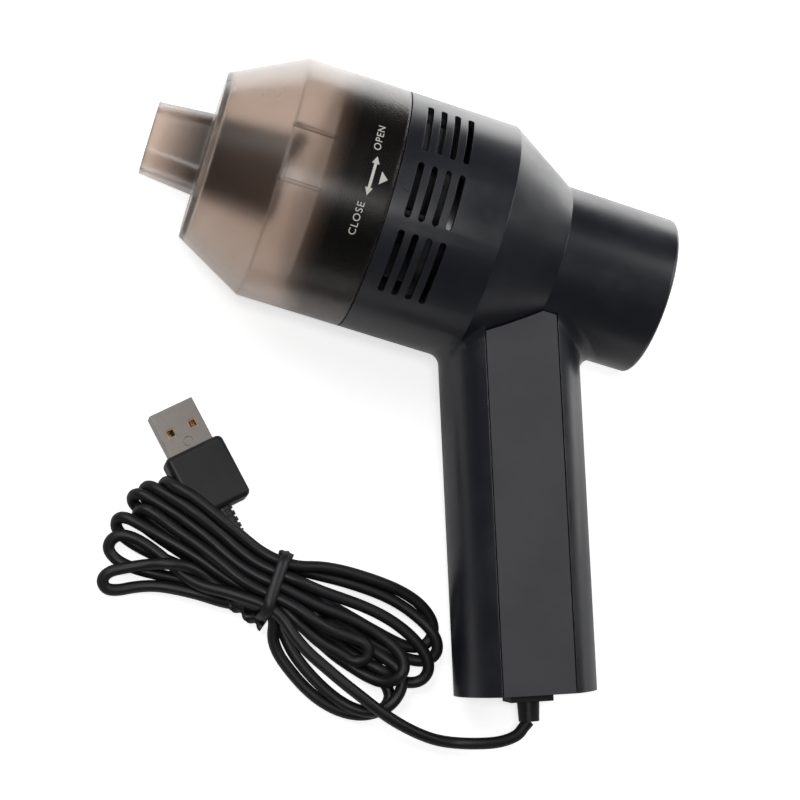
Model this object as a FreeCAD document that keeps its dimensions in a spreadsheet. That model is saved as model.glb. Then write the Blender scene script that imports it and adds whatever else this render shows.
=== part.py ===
"""Pistol-shaped desktop vacuum cleaner: dust cup, filter, fan, motor, housing with handle, switch and USB
lead.

The pieces are built in the tool frame: X runs along the barrel from the nozzle to the tail with X = 0
at the seam between cup and housing, Y points away from the handle, and Z points out of the left side.
The tool then lies on its right side, on the barrel and on the low edge of the handle's end: see
"Stance" below.
"""
import FreeCAD, Part
import math
import os
import re
import Sketcher

Vector = FreeCAD.Vector
Rotation = FreeCAD.Rotation
Placement = FreeCAD.Placement

doc = FreeCAD.newDocument("DesktopVacuum")

# ---------------------------------------------------------------- driving dimensions (mm and degrees)

DIMENSIONS = [
    # barrel
    ("body_radius", 31.0, "outside radius of the cup and of the housing behind it"),
    ("shell_wall", 1.8, "wall of the housing"),
    ("body_length", 28.4, "straight part of the housing"),
    ("body_taper", 17.8, "cone between the straight part and the tail"),
    ("neck_radius", 20.7, "radius where the cone meets the tail"),
    ("tail_radius", 20.6, "radius at the tail's end"),
    ("tail_length", 29.2, "length of the tail"),
    ("tail_rim", 1.0, "rounding of the tail's rim"),
    ("seam_gap", 0.35, "gap between the cup and the housing"),
    # dust cup and nozzle
    ("cup_wall", 1.7, "wall of the dust cup"),
    ("cup_length", 26.7, "straight part of the dust cup"),
    ("cup_taper", 18.1, "cone at the front of the dust cup"),
    ("face_radius", 21.4, "radius of the cup's flat face"),
    ("face_plate", 1.8, "thickness of the cup's flat face"),
    ("nose_length", 14.1, "length of the nozzle"),
    ("nose_root_height", 20.6, "nozzle at the cup's face, across Y"),
    ("nose_root_width", 16.4, "nozzle at the cup's face, across Z"),
    ("nose_tip_height", 18.0, "nozzle at its mouth, across Y"),
    ("nose_tip_width", 14.0, "nozzle at its mouth, across Z"),
    ("nose_corner", 5.6, "corner radius of the nozzle"),
    ("nose_wall", 1.5, "wall of the nozzle"),
    ("fence_spread", 6.6, "distance of each fence rib in the cup from the middle plane"),
    ("fence_width", 0.6, "thickness of a fence rib"),
    ("fence_height", 0.9, "height of a fence rib"),
    ("fence_length", 10.0, "length of a fence rib behind the cup's cone"),
    # inlet duct and flap
    ("duct_wall", 1.2, "wall of the inlet duct"),
    ("duct_end_height", 22.4, "outside of the duct at its rear end, across Y"),
    ("duct_end_width", 18.0, "outside of the duct at its rear end, across Z"),
    ("duct_reach", 1.2, "how far the duct reaches into the cup's straight part"),
    ("duct_corner", 5.0, "corner radius of the duct"),
    ("flap_thick", 1.0, "thickness of the inlet flap"),
    ("flap_gap", 0.3, "gap between the closed flap and the duct's end"),
    ("flap_pin_radius", 0.7, "radius of the flap's pin"),
    ("pin_play", 0.06, "radial play of a pin in its hole"),
    ("flap_ear", 1.4, "thickness of each ear that carries the flap's pin"),
    # bayonet collar
    ("collar_front", 7.5, "how far the collar stands into the cup"),
    ("collar_tail", 2.6, "how far the collar reaches into the housing"),
    ("collar_gap", 0.35, "gap between collar and cup"),
    ("collar_wall", 3.4, "wall of the collar"),
    ("flange_depth", 0.9, "how deep flanges and plates sit in the housing's wall"),
    ("flange_thick", 1.6, "thickness of the collar's flange"),
    ("lug_depth", 1.5, "how far the cup's lugs stand in"),
    ("lug_length", 2.0, "length of a lug along the barrel"),
    ("lug_front", 5.0, "distance of a lug's front from the seam"),
    ("lug_angle", 14.0, "width of a lug, degrees"),
    ("lug_play", 0.3, "clearance around a lug in its slot"),
    ("twist_angle", 25.0, "turn that frees the cup, degrees"),
    # filter
    ("filter_gap", 2.3, "gap between the filter's rim and the cup"),
    ("filter_rim_wall", 1.4, "wall of the filter's rim"),
    ("filter_reach", 16.8, "distance of the rim's front from the seam"),
    ("cloth_set", 1.0, "depth of the filter cloth behind the rim's front"),
    ("rim_bead", 0.9, "height of the bead around the filter's rim"),
    ("bead_reach", 12.3, "distance of the bead from the seam"),
    ("filter_grille_thick", 1.2, "thickness of the filter's grille"),
    ("grille_hub", 5.0, "radius of the closed middle of the grille"),
    ("grille_bar", 1.6, "width of the grille's rings"),
    ("grille_spoke", 9.0, "angle that a spoke of the grille takes at its middle, degrees"),
    ("window_count", 6, "windows in each ring of the grille"),
    ("filter_cloth_thick", 2.6, "thickness of the filter cloth"),
    ("seal_thick", 1.3, "thickness of the rubber seal behind the flange"),
    ("spigot_play", 0.2, "clearance of the filter's spigot in the collar"),
    ("spigot_wall", 1.4, "wall of the filter's spigot"),
    ("spigot_length", 4.0, "length of the filter's spigot"),
    # fan
    ("guard_thick", 1.4, "thickness of the fan cover"),
    ("intake_radius", 11.0, "radius of the fan's intake"),
    ("fan_gap", 1.0, "running gap in front of and behind the fan wheel"),
    ("fan_radius", 25.4, "radius of the fan wheel"),
    ("fan_disc", 1.0, "thickness of the fan wheel's disc"),
    ("fan_hub_radius", 4.0, "radius of the fan wheel's hub"),
    ("blade_count", 9, "blades on the fan wheel"),
    ("blade_inner", 9.5, "radius where a blade starts"),
    ("blade_thick", 1.0, "thickness of a blade"),
    ("blade_lean", 9.0, "sideways offset of a blade's outer end"),
    # vents
    ("vent_start", 4.7, "first vent slot, distance of its middle from the seam"),
    ("vent_pitch", 3.5, "distance between the slots of a row"),
    ("vent_width", 1.6, "width of a slot"),
    ("vent_span", 26.3, "angle that a slot of the middle row covers, degrees"),
    ("vent_side_span", 31.4, "angle that a slot of the outer rows covers, degrees"),
    ("vent_row_angle", 34.6, "angle between rows, degrees"),
    # motor
    ("plate_front", 12.8, "distance of the motor plate's front from the seam"),
    ("plate_thick", 1.4, "thickness of the motor plate"),
    ("motor_radius", 13.9, "radius of the motor can"),
    ("motor_length", 30.0, "length of the motor can"),
    ("can_wall", 1.0, "wall of the motor can"),
    ("shaft_radius", 1.15, "radius of the motor shaft"),
    ("shaft_tip", 0.3, "length of the chamfer at the shaft's front and of the plain end behind it"),
    ("bush_radius", 2.6, "outside radius of the motor's bushes"),
    ("bush_length", 3.0, "length of a bush"),
    ("nose_boss_radius", 4.6, "radius of the can's front boss"),
    ("magnet_thick", 2.2, "thickness of the magnets"),
    ("magnet_span", 140.0, "angle that a magnet covers, degrees"),
    ("air_gap", 0.45, "gap between magnets and armature"),
    ("stack_room", 12.0, "length of the can that the armature's core leaves free"),
    ("stack_shift", 1.0, "how far the core sits in front of the can's middle"),
    ("slot_span", 70.0, "angle of a slot in the armature's core, degrees"),
    ("slot_mouth", 12.0, "angle of a slot's mouth, degrees"),
    ("slot_lining", 4.0, "angle on each side between a slot and its winding, degrees"),
    ("slot_paper", 0.2, "lining between a winding and the core"),
    ("pole_shoe", 1.45, "thickness of a pole's outer end"),
    ("spine_wall", 3.5, "core between the shaft and the slots"),
    ("coil_length", 2.6, "length of the coil heads on each side of the core"),
    ("commutator_radius", 3.1, "radius of the commutator"),
    ("brush_size", 2.2, "width and length of a brush"),
    ("bell_thick", 2.6, "thickness of the motor's end bell"),
    ("tab_length", 4.6, "length of a solder tab"),
    ("tab_thick", 0.6, "thickness of a solder tab"),
    ("tab_width", 3.0, "width of a solder tab"),
    ("tab_offset", 8.0, "distance of a motor tab from the axis"),
    ("damper_wall", 3.0, "wall of the rubber damper around the motor"),
    ("damper_length", 4.0, "length of the rubber damper"),
    ("damper_inset", 6.0, "distance of the damper's front from the can's rear end"),
    ("cradle_thick", 3.0, "thickness of the ring that holds the damper"),
    ("motor_screw_radius", 1.2, "radius of a motor screw"),
    ("motor_screw_offset", 8.4, "distance of the motor screws from the axis"),
    ("motor_screw_length", 4.4, "length of a motor screw"),
    # handle
    ("rake_angle", 18.2, "lean of the handle towards the tail, degrees"),
    ("handle_station", 35.2, "where the handle's middle line crosses the barrel's axis"),
    ("handle_length", 112.6, "length of the handle from the barrel's axis"),
    ("handle_round", 16.5, "radius of the handle's front and back"),
    ("handle_spread", 3.2, "distance between the middles of the front and back rounds"),
    ("handle_thick", 29.0, "thickness of the handle across its flat sides"),
    ("handle_floor", 2.0, "end wall of the handle"),
    ("root_round", 3.3, "rounding where the handle's front meets the barrel"),
    ("grip_width", 18.3, "width of a grip panel"),
    ("grip_thick", 1.6, "thickness of a grip panel"),
    ("grip_gap", 0.3, "gap around a grip panel"),
    ("boss_radius", 3.3, "radius of the screw bosses"),
    ("screw_radius", 1.1, "radius of a housing screw"),
    ("screw_play", 0.05, "play of a screw in its hole"),
    ("head_radius", 2.1, "radius of a screw head"),
    ("head_thick", 1.5, "thickness of a screw head"),
    ("screw_grip", 7.0, "length of the screw in the left half"),
    ("first_screw", 46.0, "first screw, distance from the barrel's axis along the handle"),
    ("screw_pitch", 21.0, "distance between the handle's screws"),
    # tail cap and switch
    ("cap_thick", 2.0, "thickness of the tail cap"),
    ("cap_inset", 0.5, "how far the cap lies inside the tail's rim"),
    ("cap_bead", 0.6, "bead that locks the cap into the housing"),
    ("switch_height", 15.0, "switch bezel across Y"),
    ("switch_width", 10.5, "switch bezel across Z"),
    ("switch_bezel", 1.2, "thickness of the switch bezel"),
    ("switch_lip", 1.1, "how far the bezel covers the cap around the switch"),
    ("switch_depth", 10.0, "depth of the switch behind the cap"),
    ("switch_wall", 0.9, "wall of the switch case"),
    ("rocker_gap", 0.3, "gap around the rocker"),
    ("rocker_tilt", 8.0, "tilt of the rocker to each side, degrees"),
    ("rocker_pin_radius", 0.8, "radius of the rocker's pivots"),
    ("rocker_pivot_depth", 1.0, "depth of the pivot behind the cap's face"),
    ("rocker_rise", 3.1, "height of the rocker's ends above its pivot"),
    ("rocker_dip", 2.1, "height of the rocker's middle above its pivot"),
    ("switch_tab_offset", 3.2, "distance of a switch tab from the axis"),
    # lead
    ("lead_radius", 1.5, "radius of the lead"),
    ("boot_root_radius", 2.85, "radius of the strain relief at the handle"),
    ("boot_tip_radius", 2.6, "radius of the strain relief at its tip"),
    ("boot_length", 5.0, "length of the strain relief"),
    ("gland_length", 11.0, "length of the gland's plate"),
    ("gland_width", 8.6, "width of the gland's plate"),
    ("gland_plate", 2.2, "thickness of the gland's plate"),
    ("gland_side", 0.6, "distance of the gland from the handle's middle line, towards the tail"),
    ("gland_foot_thick", 1.0, "thickness of the gland's foot inside the end wall"),
    ("gland_neck_radius", 3.2, "radius of the gland's neck through the end wall"),
    ("inner_lead_length", 7.0, "length of jacketed lead inside the handle"),
    ("stop_radius", 2.8, "radius of the crimp that stops the lead from pulling out"),
    ("stop_length", 3.0, "length of the crimp"),
    ("wire_radius", 0.7, "radius of an inner wire"),
    # USB plug
    ("shell_length", 11.8, "length of the plug's metal shell outside its grip"),
    ("shell_width", 12.0, "width of the plug's metal shell"),
    ("shell_height", 4.5, "height of the plug's metal shell"),
    ("shell_sheet", 0.35, "sheet of the plug's metal shell"),
    ("plug_length", 17.4, "length of the plug's grip"),
    ("plug_width", 16.2, "width of the plug's grip"),
    ("plug_height", 8.0, "height of the plug's grip"),
    ("plug_corner", 1.6, "rounding of the plug's grip"),
    ("plug_neck_length", 7.0, "length of the plug's strain relief"),
    ("plug_neck_radius", 2.6, "radius of the plug's strain relief at its root"),
    ("tongue_height", 1.9, "height of the plug's tongue"),
    ("tongue_width", 10.8, "width of the plug's tongue"),
    ("tongue_short", 0.9, "how far the tongue ends inside the shell"),
    ("contact_count", 4, "contacts on the plug's tongue"),
    ("contact_pitch", 2.3, "distance between contacts"),
    ("contact_width", 1.1, "width of a contact"),
    ("contact_thick", 0.2, "thickness of a contact"),
    ("contact_length", 8.0, "length of a contact"),
    ("shell_insert", 3.0, "length of the plug's metal shell inside its grip"),
    ("port_side", 2.3, "side of the square windows in the plug's shell"),
    ("port_pitch", 6.2, "distance between the windows"),
    ("port_station", 6.3, "distance of the windows from the shell's front"),
    ("dimple_radius", 1.2, "radius of the dimple in the plug's shell"),
    ("dimple_depth", 0.15, "depth of the dimple"),
    ("dimple_station", 9.9, "distance of the dimple from the shell's front"),
    ("rib_pitch", 1.7, "distance between the grooves of the plug's strain relief"),
    ("rib_groove", 0.7, "width of a groove"),
    ("rib_depth", 0.5, "depth of a groove"),
    # hank of the lead
    ("hank_height", 7.2, "height of the hank"),
    ("hank_gap", 0.3, "gap between the hank and the plug"),
    ("tail_stub", 3.0, "length of lead between the plug and the hank"),
    ("tie_thick", 1.6, "thickness of the twist tie"),
    ("tie_width", 4.2, "width of the twist tie along the hank"),
    ("tie_span", 18.8, "length of the twist tie across the hank"),
    ("tie_rise", 0.6, "how far the twist tie stands above the hank"),
    ("twist_radius", 1.2, "radius of the twisted ends of the tie"),
]

sheet = doc.addObject("Spreadsheet::Sheet", "Dims")
for row, (alias, value, meaning) in enumerate(DIMENSIONS, 1):
    sheet.set(f"A{row}", meaning)
    sheet.set(f"B{row}", str(value))
    sheet.setAlias(f"B{row}", alias)
doc.recompute()

# ---------------------------------------------------------------- stations and fits that follow from them

FITS = [
    ("body_end", "body_length"),
    ("neck_station", "body_length + body_taper"),
    ("tail_end", "neck_station + tail_length"),
    ("body_bore", "body_radius - shell_wall"),
    ("neck_bore", "neck_radius - shell_wall"),
    ("tail_bore", "tail_radius - shell_wall"),
    ("groove_radius", "body_bore + flange_depth"),
    # cup
    ("cup_bore", "body_radius - cup_wall"),
    ("face_station", "0 - cup_length - cup_taper"),
    ("face_back", "face_station + face_plate"),
    ("nose_tip", "face_station - nose_length"),
    ("duct_start_height", "nose_root_height - 2 * nose_wall + 2 * duct_wall"),
    ("duct_start_width", "nose_root_width - 2 * nose_wall + 2 * duct_wall"),
    ("duct_end", "duct_reach - cup_length"),
    ("flap_front", "duct_end + flap_gap"),
    ("flap_back", "flap_front + flap_thick"),
    ("flap_barrel_radius", "flap_pin_radius + flap_thick"),
    ("flap_axis_x", "duct_end + flap_gap + flap_barrel_radius"),
    ("ear_radius", "flap_pin_radius + flap_thick + 0.5 * duct_wall"),
    ("flap_axis_y", "duct_end_height / 2 - ear_radius"),
    ("flap_half_width", "duct_end_width / 2 - flap_ear - flap_gap"),
    # collar
    ("collar_radius", "cup_bore - collar_gap"),
    ("collar_bore", "collar_radius - collar_wall"),
    ("collar_seat", "collar_tail - guard_thick"),
    ("collar_wide_bore", "collar_bore + 1.0 * flange_depth"),
    ("lug_back", "lug_front - lug_length"),
    ("lug_tip", "cup_bore - lug_depth"),
    ("slot_floor", "lug_tip - lug_play"),
    # filter
    ("seal_front", "0 - collar_front - seal_thick"),
    ("filter_front", "0 - filter_reach"),
    ("cloth_front", "filter_front + cloth_set"),
    ("grille_front", "cloth_front + filter_cloth_thick"),
    ("grille_back", "grille_front + filter_grille_thick"),
    ("filter_rim_radius", "cup_bore - filter_gap"),
    ("filter_bore", "filter_rim_radius - filter_rim_wall"),
    ("grille_edge", "filter_bore - grille_bar"),
    ("grille_middle", "(grille_hub + grille_edge) / 2"),
    ("spigot_radius", "collar_bore - spigot_play"),
    ("spigot_bore", "spigot_radius - spigot_wall"),
    ("spigot_back", "seal_front + spigot_length"),
    # fan
    ("fan_front", "collar_tail + fan_gap"),
    ("fan_back", "plate_front - fan_gap"),
    ("fan_disc_front", "fan_back - fan_disc"),
    # motor
    ("motor_front", "plate_front + plate_thick"),
    ("motor_end", "motor_front + motor_length"),
    ("bell_end", "motor_end + bell_thick"),
    ("boss_front", "plate_front"),
    ("magnet_outer", "motor_radius - can_wall"),
    ("magnet_inner", "magnet_outer - magnet_thick"),
    ("core_radius", "magnet_inner - air_gap"),
    ("core_front", "motor_front + stack_room / 2 - stack_shift"),
    ("core_back", "core_front + motor_length - stack_room"),
    ("coil_radius", "core_radius - 2 * air_gap"),
    ("slot_root", "shaft_radius + spine_wall"),
    ("slot_roof", "core_radius - pole_shoe"),
    ("commutator_front", "core_back + coil_length"),
    ("commutator_back", "motor_end - 0.4"),
    ("brush_start", "commutator_radius + 0.08"),
    ("bell_recess", "motor_end - brush_size - 0.6"),
    ("bell_socket", "commutator_radius + brush_size + 1.4"),
    ("damper_radius", "motor_radius + damper_wall"),
    ("damper_station", "motor_end - damper_inset"),
    ("damper_end", "damper_station + damper_length"),
    ("cradle_start", "damper_station + (damper_length - cradle_thick) / 2"),
    ("shaft_end", "bell_end + 1.2"),
    # handle
    ("grip_face", "handle_thick / 2"),
    ("grip_seat", "grip_face - grip_thick"),
    ("handle_cavity", "grip_seat - shell_wall"),
    ("pocket_half", "grip_width / 2 + grip_gap"),
    ("round_offset", "handle_spread / 2"),
    ("round_bore", "handle_round - shell_wall"),
    ("screw_head_seat", "grip_seat - head_thick - 0.3"),
    # tail
    ("cap_face", "tail_end - cap_inset"),
    ("cap_front", "cap_face - cap_thick"),
    ("cap_groove_radius", "tail_bore + cap_bead"),
    ("switch_body_height", "switch_height - 2 * switch_lip"),
    ("switch_body_width", "switch_width - 2 * switch_lip"),
    ("switch_back", "cap_face - switch_depth"),
    ("switch_front", "cap_face + switch_bezel"),
    ("window_height", "switch_body_height - 2 * switch_wall"),
    ("window_width", "switch_body_width - 2 * switch_wall"),
    ("rocker_pivot", "cap_face - rocker_pivot_depth"),
    ("rocker_half_height", "window_height / 2 - rocker_gap - 0.45"),
    ("rocker_half_width", "window_width / 2 - rocker_gap"),
    ("switch_tab_end", "switch_back - tab_length"),
    # lead
    ("boot_start", "handle_length + gland_plate"),
    ("boot_end", "boot_start + boot_length"),
    ("gland_inner", "handle_length - handle_floor"),
    ("inner_lead_end", "gland_inner - inner_lead_length"),
    ("plug_end", "shell_length + plug_length + plug_neck_length"),
]

fits = doc.addObject("App::VarSet", "Fit")
driving = {alias for alias, value, meaning in DIMENSIONS}
derived = {name for name, text in FITS}
WORD = re.compile(r"[a-z]+(?:_[a-z]+)+")


def bind(text):
    """The expression text with every named size pointing at the sheet or at the fits."""
    def prefixed(match):
        word = match[0]
        if word in driving:
            return "Dims." + word
        if word in derived:
            return "Fit." + word
        raise NameError(word)
    return WORD.sub(prefixed, text)


for name, text in FITS:
    fits.addProperty("App::PropertyFloat", name)
    fits.setExpression(name, bind(text))
doc.recompute()


def size(word):
    """The number behind a named size."""
    return float(sheet.get(word)) if word in driving else float(getattr(fits, word))


# ---------------------------------------------------------------- building blocks

ALONG_X = Rotation(Vector(0, 1, 0), 90)
# a sketch's X, Y and normal become the tool's Y, Z and X
ACROSS_X = Rotation(0.5, 0.5, 0.5, 0.5)


def drive(item, **texts):
    """Bind properties of an object: x, y and z are its place."""
    for prop, text in texts.items():
        path = f"Placement.Base.{prop}" if prop in ("x", "y", "z") else prop
        item.setExpression(path, bind(text))
    return item


def rod(name, radius, start, end, y="0", z="0"):
    """A cylinder along the barrel."""
    item = doc.addObject("Part::Cylinder", name)
    item.Placement = Placement(Vector(), ALONG_X)
    return drive(item, Radius=radius, Height=f"({end}) - ({start})", x=start, y=y, z=z)


def cone(name, start_radius, end_radius, start, end):
    """A cone along the barrel."""
    item = doc.addObject("Part::Cone", name)
    item.Placement = Placement(Vector(), ALONG_X)
    return drive(item, Radius1=start_radius, Radius2=end_radius, Height=f"({end}) - ({start})", x=start)


def post(name, radius, start, end, x="0", y="0"):
    """A cylinder across the tool, along Z."""
    item = doc.addObject("Part::Cylinder", name)
    return drive(item, Radius=radius, Height=f"({end}) - ({start})", x=x, y=y, z=start)


def block(name, x, y, z):
    """A box from three pairs of limits."""
    item = doc.addObject("Part::Box", name)
    return drive(
        item,
        Length=f"({x[1]}) - ({x[0]})", Width=f"({y[1]}) - ({y[0]})", Height=f"({z[1]}) - ({z[0]})",
        x=x[0], y=y[0], z=z[0],
    )


def fuse(name, *items):
    item = doc.addObject("Part::MultiFuse", name)
    item.Shapes = list(items)
    item.Refine = True
    return item


def cut(name, base, *tools):
    for number, tool in enumerate(tools, 1):
        last = number == len(tools)
        item = doc.addObject("Part::Cut", name if last else f"{name}_step")
        item.Base = base
        item.Tool = tool
        base = item
    return base


def common(name, *items):
    item = doc.addObject("Part::MultiCommon", name)
    item.Shapes = list(items)
    return item


def solid(name, shape):
    """A feature whose shape is worked out here."""
    item = doc.addObject("Part::Feature", name)
    item.Shape = shape
    return item


def body_plane(body, role):
    return [plane for plane in body.Origin.OriginFeatures if plane.Role == role][0]


def closed_sketch(sketch, corners):
    """A closed outline of straight lines whose corners are bound to named sizes."""
    count = len(corners)
    start = [
        Vector(10 * math.cos(2 * math.pi * k / count), 30 + 10 * math.sin(2 * math.pi * k / count), 0)
        for k in range(count)
    ]
    for k in range(count):
        sketch.addGeometry(Part.LineSegment(start[k], start[(k + 1) % count]), False)
    for k in range(count):
        sketch.addConstraint(Sketcher.Constraint("Coincident", k, 2, (k + 1) % count, 1))
    for k, (along, across) in enumerate(corners):
        for kind, letter, text, value in (
            ("DistanceX", "x", along, start[k].x),
            ("DistanceY", "y", across, start[k].y),
        ):
            number = sketch.addConstraint(Sketcher.Constraint(kind, k, 1, value))
            sketch.renameConstraint(number, f"{letter}{k}")
            sketch.setExpression(f"Constraints.{letter}{k}", bind(text))


def body_sketch(body, name, role, corners, offset=None):
    sketch = body.newObject("Sketcher::SketchObject", name)
    sketch.AttachmentSupport = [(body_plane(body, role), "")]
    sketch.MapMode = "FlatFace"
    if offset:
        sketch.setExpression("AttachmentOffset.Base.z", bind(offset))
    closed_sketch(sketch, corners)
    return sketch


def turned(name, corners):
    """A body turned about the barrel's axis from an outline of (station, radius) corners."""
    body = doc.addObject("PartDesign::Body", name)
    sketch = body_sketch(body, f"{name}_outline", "XY_Plane", corners)
    turn = body.newObject("PartDesign::Revolution", f"{name}_turn")
    turn.Profile = sketch
    turn.ReferenceAxis = (sketch, ["H_Axis"])
    turn.Angle = 360
    return body


def ring(name, outer, inner, start, end):
    return turned(name, [(start, inner), (start, outer), (end, outer), (end, inner)])


def rounded_outline(name, station, height, width, corner):
    """A rounded rectangle across the barrel, at a station."""
    sketch = doc.addObject("Sketcher::SketchObject", name)
    sketch.Placement = Placement(Vector(), ACROSS_X)
    sketch.setExpression("Placement.Base.x", bind(station))
    half, low, r = 10.0, 8.0, 2.0
    quarter = math.pi / 2

    def line(x1, y1, x2, y2):
        sketch.addGeometry(Part.LineSegment(Vector(x1, y1, 0), Vector(x2, y2, 0)), False)

    def arc(x, y, turn):
        circle = Part.Circle(Vector(x, y, 0), Vector(0, 0, 1), r)
        sketch.addGeometry(Part.ArcOfCircle(circle, turn * quarter, (turn + 1) * quarter), False)

    line(-half + r, -low, half - r, -low)
    arc(half - r, -low + r, -1)
    line(half, -low + r, half, low - r)
    arc(half - r, low - r, 0)
    line(half - r, low, -half + r, low)
    arc(-half + r, low - r, 1)
    line(-half, low - r, -half, -low + r)
    arc(-half + r, -low + r, 2)
    for k in range(8):
        sketch.addConstraint(Sketcher.Constraint("Tangent", k, 2, (k + 1) % 8, 1))
    for k in (0, 4):
        sketch.addConstraint(Sketcher.Constraint("Horizontal", k))
    for k in (2, 6):
        sketch.addConstraint(Sketcher.Constraint("Vertical", k))
    for k in (3, 5, 7):
        sketch.addConstraint(Sketcher.Constraint("Equal", 1, k))
    sketch.addConstraint(Sketcher.Constraint("Symmetric", 3, 3, 7, 3, -1, 1))
    for number, text in (
        (sketch.addConstraint(Sketcher.Constraint("Radius", 1, r)), corner),
        (sketch.addConstraint(Sketcher.Constraint("DistanceX", 6, 1, 2, 1, 2 * half)), height),
        (sketch.addConstraint(Sketcher.Constraint("DistanceY", 0, 1, 4, 2, 2 * low)), width),
    ):
        sketch.renameConstraint(number, f"limit{number}")
        sketch.setExpression(f"Constraints.limit{number}", bind(text))
    return sketch


def loft(name, *outlines):
    item = doc.addObject("Part::Loft", name)
    item.Sections = list(outlines)
    item.Solid = True
    item.Ruled = True
    return item


def sector(inner, outer, start, end, middle, span):
    """A piece of ring about the barrel's axis; angles run from +Z towards +Y."""
    def slice_of(radius):
        axis = Vector(1, 0, 0)
        piece = Part.makeCylinder(radius, end - start, Vector(start, 0, 0), axis, span)
        # the slice starts at +Z and sweeps towards -Y
        piece.rotate(Vector(), axis, -middle - span / 2)
        return piece
    return slice_of(outer).cut(slice_of(inner))


NODES = {}


def node(item, label):
    """Keep an object as one of the tool's pieces."""
    item.Label = label
    NODES[label] = item
    return item


# ---------------------------------------------------------------- dust cup with nozzle

LUG_ANGLES = (60, 180, 300)

cup_form = turned("cup_form", [
    ("face_station", "0"),
    ("face_station", "face_radius"),
    ("0 - cup_length", "body_radius"),
    ("0 - seam_gap", "body_radius"),
    ("0 - seam_gap", "cup_bore"),
    ("0 - cup_length", "cup_bore"),
    ("face_back", "face_radius - cup_wall * 0.55"),
    ("face_back", "0"),
])
nose_form = loft(
    "nose_form",
    rounded_outline("nose_root", "face_back", "nose_root_height", "nose_root_width", "nose_corner"),
    rounded_outline("nose_mouth", "nose_tip", "nose_tip_height", "nose_tip_width", "nose_corner"),
)
nose_bore = loft(
    "nose_bore",
    rounded_outline("nose_bore_root", "face_back", "nose_root_height - 2 * nose_wall",
                    "nose_root_width - 2 * nose_wall", "nose_corner - nose_wall"),
    rounded_outline("nose_bore_mouth", "nose_tip", "nose_tip_height - 2 * nose_wall",
                    "nose_tip_width - 2 * nose_wall", "nose_corner - nose_wall"),
)
cup_lugs = solid("cup_lugs", Part.makeCompound([
    sector(size("lug_tip"), size("cup_bore") + size("cup_wall") / 2, -size("lug_front"), -size("lug_back"),
           angle, size("lug_angle"))
    for angle in LUG_ANGLES
]))
fences = []
for side in (-1, 1):
    for row in (-1, 1):
        fence = block(
            "cup_fence",
            ("0 - cup_length", "0 - cup_length + fence_length"),
            (f"{row} * fence_spread - fence_width / 2", f"{row} * fence_spread + fence_width / 2"),
            ("0", "body_radius - cup_wall / 2"),
        )
        if side < 0:
            drive(fence, z="cup_wall / 2 - body_radius")
        fences.append(fence)
fence_bars = cut(
    "cup_fences",
    common("cup_fence_stock", fuse("cup_fence_bars", *fences),
           rod("cup_fence_limit", "body_radius - cup_wall / 2", "face_station", "0")),
    rod("cup_fence_room", "cup_bore - fence_height", "face_station", "0"),
)
node(cut("dust_cup", fuse("cup_stock", cup_form, nose_form, cup_lugs, fence_bars), nose_bore), "dust_cup")

# ---------------------------------------------------------------- inlet duct with its flap

duct_form = loft(
    "duct_form",
    rounded_outline("duct_root", "face_back", "duct_start_height", "duct_start_width", "duct_corner"),
    rounded_outline("duct_mouth", "duct_end", "duct_end_height", "duct_end_width", "duct_corner"),
)
duct_bore = loft(
    "duct_bore",
    rounded_outline("duct_bore_root", "face_back", "duct_start_height - 2 * duct_wall",
                    "duct_start_width - 2 * duct_wall", "duct_corner - duct_wall"),
    rounded_outline("duct_bore_mouth", "duct_end", "duct_end_height - 2 * duct_wall",
                    "duct_end_width - 2 * duct_wall", "duct_corner - duct_wall"),
)
ears = []
for start, end in (("duct_end_width / 2 - flap_ear", "duct_end_width / 2"),
                   ("0 - duct_end_width / 2", "flap_ear - duct_end_width / 2")):
    ears.append(post("duct_ear_round", "ear_radius", start, end, "flap_axis_x", "flap_axis_y"))
    ears.append(block("duct_ear_root", ("duct_end - 2 * flap_ear", "flap_axis_x"),
                      ("flap_axis_y - ear_radius", "flap_axis_y"), (start, end)))
flap_pin_hole = post("flap_pin_hole", "flap_pin_radius", "0 - duct_end_width", "duct_end_width",
                     "flap_axis_x", "flap_axis_y")
node(cut("inlet_duct", fuse("duct_stock", duct_form, *ears), duct_bore, flap_pin_hole), "inlet_duct")

flap_leaf = block(
    "flap_leaf",
    ("flap_front", "flap_back"),
    ("duct_wall / 2 - duct_end_height / 2", "flap_axis_y - ear_radius - flap_gap"),
    ("flap_gap - duct_end_width / 2", "duct_end_width / 2 - flap_gap"),
)
flap_neck = block(
    "flap_neck",
    ("flap_front", "flap_back"),
    ("flap_axis_y - ear_radius - flap_gap - flap_thick", "flap_axis_y"),
    ("0 - flap_half_width", "flap_half_width"),
)
flap_barrel = post("flap_barrel", "flap_barrel_radius", "0 - flap_half_width", "flap_half_width",
                   "flap_axis_x", "flap_axis_y")
flap_pin_bore = post("flap_pin_bore", "flap_pin_radius + pin_play", "0 - duct_end_width", "duct_end_width",
                     "flap_axis_x", "flap_axis_y")
node(cut("inlet_flap", fuse("flap_stock", flap_leaf, flap_neck, flap_barrel), flap_pin_bore), "inlet_flap")
node(fuse(
    "flap_pin",
    post("flap_pin_rod", "flap_pin_radius", "0 - duct_end_width / 2", "duct_end_width / 2",
         "flap_axis_x", "flap_axis_y"),
    post("flap_pin_head", "flap_pin_radius * 1.6", "duct_end_width / 2", "duct_end_width / 2 + 0.4",
         "flap_axis_x", "flap_axis_y"),
), "flap_pin")

# ---------------------------------------------------------------- filter

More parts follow.
